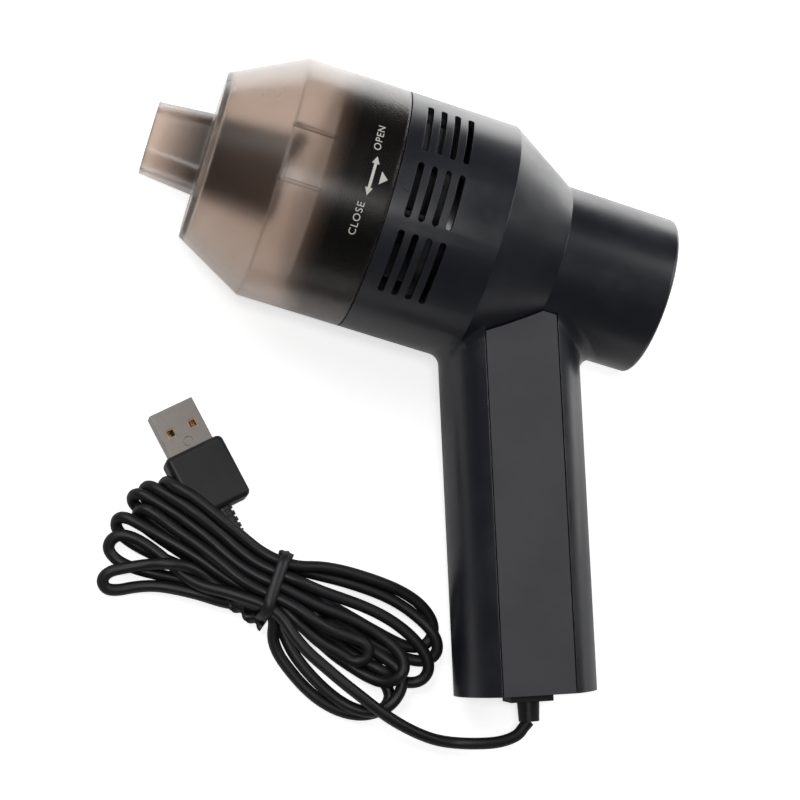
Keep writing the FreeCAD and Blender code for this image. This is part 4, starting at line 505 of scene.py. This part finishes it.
def plain_mesh(item):
    """The mesh of an object with its modifiers done; the object itself is removed."""
    bpy.context.view_layer.update()
    data = bpy.data.meshes.new_from_object(item.evaluated_get(bpy.context.evaluated_depsgraph_get()))
    bpy.data.objects.remove(item)
    return data


def text_outline(word, size, depth):
    """The closed solid mesh of a word, centred on the origin, in a new bmesh."""
    curve = bpy.data.curves.new(word, "FONT")
    curve.body = word
    curve.size = size
    curve.align_x = "CENTER"
    curve.align_y = "CENTER"
    curve.space_character = 1.14
    curve.extrude = depth / 2
    curve.resolution_u = 4
    bm = bmesh.new()
    bm.from_mesh(plain_mesh(shown(word, curve)))
    bmesh.ops.remove_doubles(bm, verts=bm.verts, dist=1e-7)
    for vertex in bm.verts:
        vertex.co.z += depth / 2
    return bm


def flat_outline(corners, depth):
    """A closed flat piece from corners in a plane, in a new bmesh."""
    bm = bmesh.new()
    face = bm.faces.new([bm.verts.new((x, y, 0.0)) for x, y in corners])
    top = bmesh.ops.extrude_face_region(bm, geom=[face])
    for item in top["geom"]:
        if isinstance(item, bmesh.types.BMVert):
            item.co.z = depth
    return bm


def lay_round(bm, station, angle, radius):
    """Cut a flat piece finely enough to bend, and bend it round the barrel."""
    step = BEND_STEP * MM
    reach = max(abs(v.co.x) for v in bm.verts)
    for k in range(-int(reach / step), int(reach / step) + 1):
        bmesh.ops.bisect_plane(bm, geom=bm.verts[:] + bm.edges[:] + bm.faces[:], dist=1e-7,
                               plane_co=(k * step, 0, 0), plane_no=(1, 0, 0))
    for vertex in bm.verts:
        vertex.co = wrapped(vertex.co, station, angle, radius)
    return bm


def swept_band(path, across, profile):
    """A closed strip that follows a closed path of points; across is the direction of its width."""
    bm = bmesh.new()
    count = len(path)
    rings = []
    for k, point in enumerate(path):
        ahead = (path[(k + 1) % count] - path[k - 1]).normalized()
        outward = across.cross(ahead).normalized()
        rings.append([bm.verts.new(point + across * a + outward * b) for a, b in profile])
    for k in range(count):
        here, after = rings[k], rings[(k + 1) % count]
        for j in range(len(profile)):
            bm.faces.new((here[j], after[j], after[(j + 1) % len(profile)], here[(j + 1) % len(profile)]))
    return bm


def square_frame(outer, inner, depth):
    """A closed square frame from its half sides and depth in millimetres, as a mesh."""
    bm = bmesh.new()
    corners = ((1, 1), (-1, 1), (-1, -1), (1, -1))
    rings = [[bm.verts.new(Vector((x * side, y * side, z)) * MM) for x, y in corners]
             for side, z in ((outer, 0), (outer, depth), (inner, depth), (inner, 0))]
    for here, after in zip(rings, rings[1:] + rings[:1]):
        for k in range(4):
            bm.faces.new((here[k], here[(k + 1) % 4], after[(k + 1) % 4], after[k]))
    return closed_mesh("square_frame", bm)


def rounded_loop(width, height, corner, steps=5):
    """Points of a rounded rectangle that stands on its lower edge, in (across, up) pairs."""
    points = []
    for quarter, (x, z) in enumerate(((1, 1), (-1, 1), (-1, -1), (1, -1))):
        centre = (x * (width / 2 - corner), height / 2 + z * (height / 2 - corner))
        for k in range(steps + 1):
            turn = math.radians(90 * (quarter + k / steps))
            points.append((centre[0] + corner * math.cos(turn), centre[1] + corner * math.sin(turn)))
    return points


def lead_curve(diameter, material):
    """The lead as one open curve with a round section."""
    curve = bpy.data.curves.new("lead", "CURVE")
    curve.dimensions = "3D"
    curve.bevel_depth = diameter / 2
    curve.bevel_resolution = 4
    curve.resolution_u = 6
    curve.use_fill_caps = True
    spline = curve.splines.new("NURBS")
    spline.points.add(len(LEAD_ROUTE) - 1)
    for point, place in zip(spline.points, LEAD_ROUTE):
        point.co = (*on_floor(*place), 1.0)
    spline.order_u = 3
    spline.use_endpoint_u = True
    curve.materials.append(material)
    return curve


def tie_band(sizes):
    """The tie's loop round the hank, thick over its wire and thin beside it, in a new bmesh."""
    wire, wing, half = sizes.tie_wire / 2, sizes.tie_wing / 2, sizes.tie_width / 2
    profile = [(-half, -wing), (-wire, -wing), (0, -wire), (wire, -wing), (half, -wing), (half, wing),
               (wire, wing), (0, wire), (-wire, wing), (-half, wing)]
    loop = [TIE @ (Vector((TIE_SWAY * math.sin(k), x, TIE_LIFT + z)) * MM)
            for k, (x, z) in enumerate(rounded_loop(*TIE_LOOP))]
    return swept_band(loop, (TIE.to_3x3() @ Vector((1, 0, 0))).normalized(), profile)


# ---------------------------------------------------------------- Geometry Nodes

def node_tree(name, *inputs):
    """A geometry tree with a Geometry output, a Geometry input and named inputs of (label, kind, default)."""
    tree = bpy.data.node_groups.new(name, "GeometryNodeTree")
    tree.interface.new_socket("Geometry", in_out="INPUT", socket_type="NodeSocketGeometry")
    tree.interface.new_socket("Geometry", in_out="OUTPUT", socket_type="NodeSocketGeometry")
    for label, kind, default in inputs:
        socket = tree.interface.new_socket(label, in_out="INPUT", socket_type=f"NodeSocket{kind}")
        if default is not None:
            socket.default_value = default
    return tree, tree.nodes.new("NodeGroupInput"), tree.nodes.new("NodeGroupOutput")


def finish_tree(tree, geometry, material, outputs):
    """Every tree ends in Realize Instances and Set Material."""
    real = tree.nodes.new("GeometryNodeRealizeInstances")
    tree.links.new(geometry, real.inputs["Geometry"])
    paint = tree.nodes.new("GeometryNodeSetMaterial")
    tree.links.new(real.outputs["Geometry"], paint.inputs["Geometry"])
    tree.links.new(material, paint.inputs["Material"])
    tree.links.new(paint.outputs["Geometry"], outputs.inputs["Geometry"])


def run_tree(tree, base, values):
    """Run a tree on a mesh with its inputs set by identifier, and return the plain mesh."""
    holder = shown(tree.name, base)
    modifier = holder.modifiers.new(tree.name, "NODES")
    modifier.node_group = tree
    for item in tree.interface.items_tree:
        if item.in_out == "INPUT" and item.name in values:
            modifier[item.identifier] = values[item.name]
    return plain_mesh(holder)


def twisted_strips_tree():
    """Two flat strips twisted round each other along a straight line, with flat ends."""
    tree, inputs, outputs = node_tree(
        "Twisted strips", ("Start", "Vector", None), ("End", "Vector", None), ("Turns", "Float", 2.0),
        ("Width", "Float", 0.003), ("Thickness", "Float", 0.0008), ("Offset", "Float", 0.0005),
        ("Steps", "Int", 48), ("Finish", "Material", None))
    add, link, given = tree.nodes.new, tree.links.new, inputs.outputs
    line = add("GeometryNodeCurvePrimitiveLine")
    link(given["Start"], line.inputs["Start"])
    link(given["End"], line.inputs["End"])
    points = add("GeometryNodeResampleCurve")
    link(line.outputs["Curve"], points.inputs["Curve"])
    link(given["Steps"], points.inputs["Count"])
    along = add("GeometryNodeSplineParameter").outputs["Factor"]
    whole = math_node(tree, "MULTIPLY", given["Turns"], 2 * math.pi)
    tilt = add("GeometryNodeSetCurveTilt")
    link(points.outputs["Curve"], tilt.inputs["Curve"])
    link(math_node(tree, "MULTIPLY", along, whole), tilt.inputs["Tilt"])
    join = add("GeometryNodeJoinGeometry")
    for side in (-1, 1):
        strip = add("GeometryNodeCurvePrimitiveQuadrilateral")
        link(given["Width"], strip.inputs["Width"])
        link(given["Thickness"], strip.inputs["Height"])
        shift = add("ShaderNodeCombineXYZ")
        link(math_node(tree, "MULTIPLY", given["Offset"], side), shift.inputs["Y"])
        moved = add("GeometryNodeTransform")
        link(strip.outputs["Curve"], moved.inputs["Geometry"])
        link(shift.outputs["Vector"], moved.inputs["Translation"])
        sweep = add("GeometryNodeCurveToMesh")
        sweep.inputs["Fill Caps"].default_value = True
        link(tilt.outputs["Curve"], sweep.inputs["Curve"])
        link(moved.outputs["Geometry"], sweep.inputs["Profile Curve"])
        link(sweep.outputs["Mesh"], join.inputs["Geometry"])
    finish_tree(tree, join.outputs["Geometry"], given["Finish"], outputs)
    return tree


def row_tree():
    """Copies of the mesh in a row."""
    tree, inputs, outputs = node_tree("Row of pieces", ("Count", "Int", 2), ("Start", "Vector", None),
                                      ("Step", "Vector", None), ("Finish", "Material", None))
    add, link, given = tree.nodes.new, tree.links.new, inputs.outputs
    line = add("GeometryNodeMeshLine")
    line.mode = "OFFSET"
    link(given["Count"], line.inputs["Count"])
    link(given["Start"], line.inputs["Start Location"])
    link(given["Step"], line.inputs["Offset"])
    copies = add("GeometryNodeInstanceOnPoints")
    link(line.outputs["Mesh"], copies.inputs["Points"])
    link(given["Geometry"], copies.inputs["Instance"])
    finish_tree(tree, copies.outputs["Instances"], given["Finish"], outputs)
    return tree


# ---------------------------------------------------------------- floor, world and lamps

def paper():
    """White paper: plain, with its own light where it is seen, and more of it where a surface mirrors it."""
    material = bpy.data.materials.new("paper_white")
    material.use_nodes = True
    tree = material.node_tree
    tree.nodes.remove(tree.nodes["Principled BSDF"])
    plain = tree.nodes.new("ShaderNodeBsdfDiffuse")
    plain.inputs["Color"].default_value = (*looks().floor, 1.0)
    glow = tree.nodes.new("ShaderNodeEmission")
    ray = tree.nodes.new("ShaderNodeLightPath").outputs
    seen = math_node(tree, "MAXIMUM", ray["Is Camera Ray"], ray["Is Transmission Ray"])
    glossy = math_node(tree, "SUBTRACT", ray["Is Glossy Ray"], ray["Is Transmission Ray"])
    mirrored = math_node(tree, "GREATER_THAN", glossy, 0.5)
    behind = range_node(tree, axis_of(tree, coordinates(tree), "Y"), SHEEN_FROM, SHEEN_FULL)
    shine = math_node(tree, "MULTIPLY", mirrored, math_node(tree, "MULTIPLY", behind, looks().sheen))
    light = math_node(tree, "ADD", math_node(tree, "MULTIPLY", seen, FLOOR_GLOW), shine)
    tree.links.new(light, glow.inputs["Strength"])
    both = tree.nodes.new("ShaderNodeAddShader")
    tree.links.new(plain.outputs[0], both.inputs[0])
    tree.links.new(glow.outputs[0], both.inputs[1])
    tree.links.new(both.outputs[0], tree.nodes["Material Output"].inputs["Surface"])
    return material


def tent():
    """World like a light tent, brighter low down and darker overhead, and white where the camera sees it."""
    world = bpy.data.worlds.new("tent")
    world.use_nodes = True
    sky = world.node_tree
    level = range_node(sky, axis_of(sky, coordinates(sky, "Generated"), "Z"), SKY_LOW, SKY_HIGH,
                       SKY_LOW_STRENGTH, SKY_HIGH_STRENGTH)
    seen = sky.nodes.new("ShaderNodeLightPath").outputs["Is Camera Ray"]
    white = range_node(sky, seen, 0.0, 1.0, 0.0, SKY_WHITE)
    sky.links.new(math_node(sky, "MAXIMUM", level, white), sky.nodes["Background"].inputs["Strength"])
    return world


def hang_lamp(name, place, side, power):
    """A square lamp that points at the middle of the frame."""
    light = bpy.data.lights.new(name, "AREA")
    light.shape = "RECTANGLE"
    light.size = light.size_y = side
    light.energy = power
    lamp = shown(name, light)
    lamp.location = place
    lamp.rotation_mode = "QUATERNION"
    lamp.rotation_quaternion = (-Vector(place)).to_track_quat("-Z", "Y")


# ---------------------------------------------------------------- operators, one for each piece or group

class VACUUM_OT_housing(bpy.types.Operator):
    """Finish the housing, the grip panels, the tail cap and the raised mark at the seam"""
    bl_idname = "vacuum.housing"
    bl_label = "Housing"

    def execute(self, context):
        shell = moulded("housing_satin", looks().housing, 0.34, grain=0.01, edge=0.25, grain_scale=3000.0,
                        IOR=1.68)
        panel = moulded("grip_matte", looks().panel, 0.56, grain=0.03, grain_scale=4200.0)
        dress(shell, "housing_left", "housing_right", "tail_cap")
        dress(panel, "grip_panel_left", "grip_panel_right")
        mark = flat_outline([(x * MM, y * MM) for x, y in LOCK_CORNERS], LOCK_HEIGHT * MM)
        lay_round(mark, LOCK_STATION, 0.0, BARREL_RADIUS - LOCK_SUNK)
        mesh_object("lock_pointer", mark, "tool", shell)
        return {"FINISHED"}


class VACUUM_OT_cup(bpy.types.Operator):
    """Finish the smoked dust cup, its inlet duct and flap"""
    bl_idname = "vacuum.cup"
    bl_label = "Dust cup"

    def execute(self, context):
        smoke = Finish("smoked_cup", looks().smoke, 0.26, Transmission_Weight=1.0, IOR=1.52)
        surface = smoke.use("grain", Grain_scale=1500.0, Wave_scale=40.0)
        smoke.roughness(smoke.noise(25.0, 2.0), 0.25, 0.29)
        smoke.bump(surface.outputs["Height"], 0.0012, edge=1.2)
        # painted shade: the tint is painted deepest at the nozzle's root and where the cup's wall laps over the
        # filter, for the shade inside them
        rise, fall = smoke.band(*PAINTED_SHADE_ROOT), smoke.band(*PAINTED_SHADE_ROOT_END, 1.0, 0.0)
        root = math_node(smoke.tree, "MULTIPLY", rise, fall)
        smoke.colours(math_node(smoke.tree, "MAXIMUM", root, smoke.band(*PAINTED_SHADE_LAP)), 1.0, 0.32)
        dress(smoke.material, "dust_cup")
        dress(moulded("duct_smoke", looks().duct, 0.42), "inlet_duct")
        dress(moulded("flap_rubber", (0.012, 0.0115, 0.012), 0.6), "inlet_flap")
        return {"FINISHED"}


class VACUUM_OT_marks(bpy.types.Operator):
    """Print the twist-lock marks on the dust cup"""
    bl_idname = "vacuum.marks"
    bl_label = "Twist-lock marks"

    def execute(self, context):
        sizes = context.scene.vacuum_marks
        ink = Finish("print_cream", looks().print, 0.55)
        wear = ink.use("handling", Smudge_scale=300.0)
        ink.colours(wear.outputs["Smudge"], 1.0, 0.86)
        for word, station, angle in WORDS:
            bm = lay_round(text_outline(word, sizes.letter, sizes.ink), station, angle, BARREL_RADIUS)
            mesh_object(f"mark_{word.lower()}", bm, "cup", ink.material)
        half, head, shaft = sizes.arrow_length / 2, sizes.arrow_head, sizes.arrow_shaft / 2
        arrow = flat_outline((
            (-half, 0), (head - half, -head / 2), (head - half, -shaft), (half - head, -shaft),
            (half - head, -head / 2), (half, 0), (half - head, head / 2), (half - head, shaft),
            (head - half, shaft), (head - half, head / 2),
        ), sizes.ink)
        lay_round(arrow, ARROW_STATION, 0.0, BARREL_RADIUS)
        mesh_object("mark_arrow", arrow, "cup", ink.material)
        side, rise = sizes.pointer / 2, sizes.pointer * POINTER_RISE
        pointer = flat_outline(((-side, rise), (0, -rise), (side, rise)), sizes.ink)
        lay_round(pointer, POINTER_STATION, 0.0, BARREL_RADIUS)
        mesh_object("mark_pointer", pointer, "cup", ink.material)
        return {"FINISHED"}


class VACUUM_OT_inside(bpy.types.Operator):
    """Finish the filter, the fan, the motor and the inner wiring"""
    bl_idname = "vacuum.inside"
    bl_label = "Filter, fan and motor"

    def execute(self, context):
        # the filter's rim is pale at its front and painted dark behind, as painted shade where the cup laps
        # over it
        rim = Finish("filter_plastic", (0.42, 0.35, 0.305), 0.5)
        rim.colours(rim.band(*PAINTED_SHADE_RIM), 1.0, 0.06)
        dress(rim.material, "filter_frame")
        cloth = Finish("filter_felt", (0.80, 0.79, 0.76), 0.9, Sheen_Weight=0.3)
        fibres = cloth.noise(2600.0, 5.0)
        cloth.colours(fibres, 0.82, 1.08)
        cloth.bump(fibres, 0.1)
        dress(cloth.material, "filter_cloth")
        for make, name, base, rough, nodes in (
            (moulded, "collar_black", (0.028, 0.028, 0.033), 0.4, ("front_collar", "fan_cover")),
            (moulded, "fan_grey", (0.05, 0.05, 0.055), 0.4, ("fan_wheel",)),
            (moulded, "seal_rubber", (0.02, 0.02, 0.02), 0.7, ("filter_seal", "motor_damper")),
            (moulded, "bell_plastic", (0.02, 0.02, 0.022), 0.5, ("motor_end_bell",)),
            (moulded, "carbon", (0.03, 0.03, 0.03), 0.6, ("motor_brushes",)),
            (moulded, "wire_red", (0.35, 0.02, 0.02), 0.4, ("supply_wire_red", "switch_wire")),
            (moulded, "wire_black", (0.012, 0.012, 0.013), 0.4, ("supply_wire_black", "inner_lead")),
            (metal, "bright_steel", (0.62, 0.62, 0.61), 0.28,
             ("motor_can", "motor_shaft", "flap_pin", "motor_screws", "housing_screws", "motor_plate",
              "lead_crimp")),
            (metal, "core_steel", (0.30, 0.30, 0.31), 0.45, ("armature_core", "motor_magnets")),
            (metal, "bronze", (0.55, 0.38, 0.22), 0.4, ("front_bush", "rear_bush")),
            (metal, "copper", (0.75, 0.36, 0.20), 0.35, ("armature_coils", "commutator")),
            (metal, "tinned_brass", (0.70, 0.58, 0.38), 0.35, ("motor_tabs", "switch_tabs")),
        ):
            dress(make(name, base, rough), *nodes)
        return {"FINISHED"}


class VACUUM_OT_switch(bpy.types.Operator):
    """Finish the rocker switch and print its I and O"""
    bl_idname = "vacuum.switch"
    bl_label = "Switch"

    def execute(self, context):
        dress(moulded("switch_black", (0.014, 0.014, 0.015), 0.3), "switch_case", "switch_rocker")
        ink = Finish("rocker_print", (0.75, 0.75, 0.73), 0.5)
        ink.colours(ink.noise(900.0), 0.85, 1.0)
        pivot = Matrix.Translation(Vector((ROCKER_STATION, 0, 0)) * MM)
        turned = TOOL @ pivot @ Matrix.Rotation(math.radians(ROCKER_TURN), 4, "Z")
        for word, side in (("I", 1), ("O", -1)):
            face = Vector((ROCKER_RISE * side, ROCKER_HALF, 0)).normalized()
            out = Vector((face.y, -face.x, 0))
            seat = Matrix.Translation(Vector((ROCKER_FACE, side * ROCKER_HALF / 2, 0)) * MM)
            bm = text_outline(word, ROCKER_LETTER * MM, ROCKER_INK * MM)
            bm.transform(turned @ seat @ Matrix((-Vector((0, 0, 1)), face, out)).transposed().to_4x4())
            mesh_object(f"rocker_{word.lower()}", bm, "rocker", ink.material)
        return {"FINISHED"}


class VACUUM_OT_lead(bpy.types.Operator):
    """Lay the lead from the strain relief through the hank to the plug, and tie it"""
    bl_idname = "vacuum.lead"
    bl_label = "Lead, hank and twist tie"

    def execute(self, context):
        sizes = context.scene.vacuum_lead
        jacket = moulded("lead_jacket", looks().jacket, 0.46, grain=0.01, edge=0.0, grain_scale=1800.0)
        dress(moulded("gland_rubber", looks().jacket, 0.42), "cord_gland")
        lead = piece_of("lead", lead_curve(sizes.diameter, jacket), "tool")
        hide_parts("cord_lead", "cord_hank", "cord_tail")
        coating = moulded("tie_coating", tuple(TIE_PALER * part for part in looks().jacket), 0.45)
        tie = mesh_object("twist_tie", tie_band(sizes), "tool", coating, smooth=True)
        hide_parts("cord_tie")
        data = run_tree(twisted_strips_tree(), bpy.data.meshes.new("twist"), {
            "Start": TWIST_START, "End": TWIST_END,
            "Turns": (TWIST_END - TWIST_START).length / sizes.twist_pitch,
            "Width": sizes.tie_width, "Thickness": sizes.tie_wing, "Offset": TWIST_OFFSET * sizes.tie_wing,
            "Steps": TWIST_STEPS, "Finish": coating,
        })
        twist = piece_of("twist_ends", data, "tool")
        return {"FINISHED"}


class VACUUM_OT_plug(bpy.types.Operator):
    """Finish the USB plug and line the windows of its shell"""
    bl_idname = "vacuum.plug"
    bl_label = "USB plug"

    def execute(self, context):
        colours = looks()
        shell = metal("plug_steel", colours.steel, 0.33, stretch=(6.0, 60.0, 60.0), turn=(0, 0, -PLUG_TURN),
                      scale=120.0, edge=0.3)
        dress(shell, "usb_shell")
        dress(moulded("plug_grip", colours.jacket, 0.45), "usb_grip")
        dress(moulded("tongue_black", (0.012, 0.012, 0.012), 0.5), "usb_tongue")
        dress(metal("contact_gold", colours.brass, 0.25), "usb_contacts")
        outer = PORT_SIDE / 2 - RIM_GAP
        data = run_tree(row_tree(), square_frame(outer, outer - RIM_BAR, RIM_DEPTH), {
            "Count": 2, "Start": Vector((PORT_STATION, -PORT_PITCH / 2, SHELL_TOP - RIM_SET)) * MM,
            "Step": Vector((0, PORT_PITCH, 0)) * MM,
            "Finish": metal("port_brass", colours.brass, 0.35, edge=0.1),
        })
        data.transform(PLUG)
        piece_of("port_rims", data, "tool")
        return {"FINISHED"}


class VACUUM_OT_stage(bpy.types.Operator):
    """Set the floor, the light and the camera"""
    bl_idname = "vacuum.stage"
    bl_label = "Floor, light and camera"

    def execute(self, context):
        scene = context.scene
        scene.view_settings.view_transform = "Standard"
        floor = bpy.data.meshes.new("floor")
        corners = [(x * FLOOR_REACH, y * FLOOR_REACH, 0) for x, y in ((-1, -1), (1, -1), (1, 1), (-1, 1))]
        floor.from_pydata(corners, [], [(0, 1, 2, 3)])
        floor.materials.append(paper())
        shown("floor", floor)
        scene.world = tent()
        for lamp in LAMPS:
            hang_lamp(*lamp)
        camera = shown("camera", bpy.data.cameras.new("camera"))
        camera.data.sensor_width = CAMERA_SENSOR
        camera.data.lens = CAMERA_FOCAL * CAMERA_SENSOR / CAMERA_WIDTH
        camera.data.clip_start = 0.01
        pose = Matrix((CAMERA_RIGHT, CAMERA_UP, -CAMERA_AHEAD)).transposed().to_4x4()
        pose.translation = CAMERA_PLACE
        camera.matrix_world = pose
        scene.camera = camera
        return {"FINISHED"}


class VACUUM_PT_pieces(bpy.types.Panel):
    """Pieces of the vacuum cleaner"""
    bl_idname = "VACUUM_PT_pieces"
    bl_label = "Desktop vacuum cleaner"
    bl_space_type = "VIEW_3D"
    bl_region_type = "UI"
    bl_category = "Vacuum"

    def draw(self, context):
        for operator in OPERATORS:
            self.layout.operator(operator.bl_idname)
        for settings in (context.scene.vacuum_marks, context.scene.vacuum_lead, context.scene.vacuum_colours):
            box = self.layout.box()
            for key in settings.bl_rna.properties.keys():
                if key not in ("rna_type", "name"):
                    box.prop(settings, key)


SETTINGS = {"vacuum_marks": VacuumMarks, "vacuum_lead": VacuumLead, "vacuum_colours": VacuumColours}
OPERATORS = (VACUUM_OT_housing, VACUUM_OT_cup, VACUUM_OT_marks, VACUUM_OT_inside, VACUUM_OT_switch,
             VACUUM_OT_lead, VACUUM_OT_plug, VACUUM_OT_stage)
CLASSES = (*SETTINGS.values(), *OPERATORS, VACUUM_PT_pieces)


def register():
    for item in CLASSES:
        bpy.utils.register_class(item)
    for key, settings in SETTINGS.items():
        setattr(bpy.types.Scene, key, bpy.props.PointerProperty(type=settings))


def unregister():
    for key in SETTINGS:
        delattr(bpy.types.Scene, key)
    for item in reversed(CLASSES):
        bpy.utils.unregister_class(item)


def main():
    register()
    for operator in OPERATORS:
        family, step = operator.bl_idname.split(".")
        getattr(getattr(bpy.ops, family), step)()


if __name__ == "__main__":
    main()
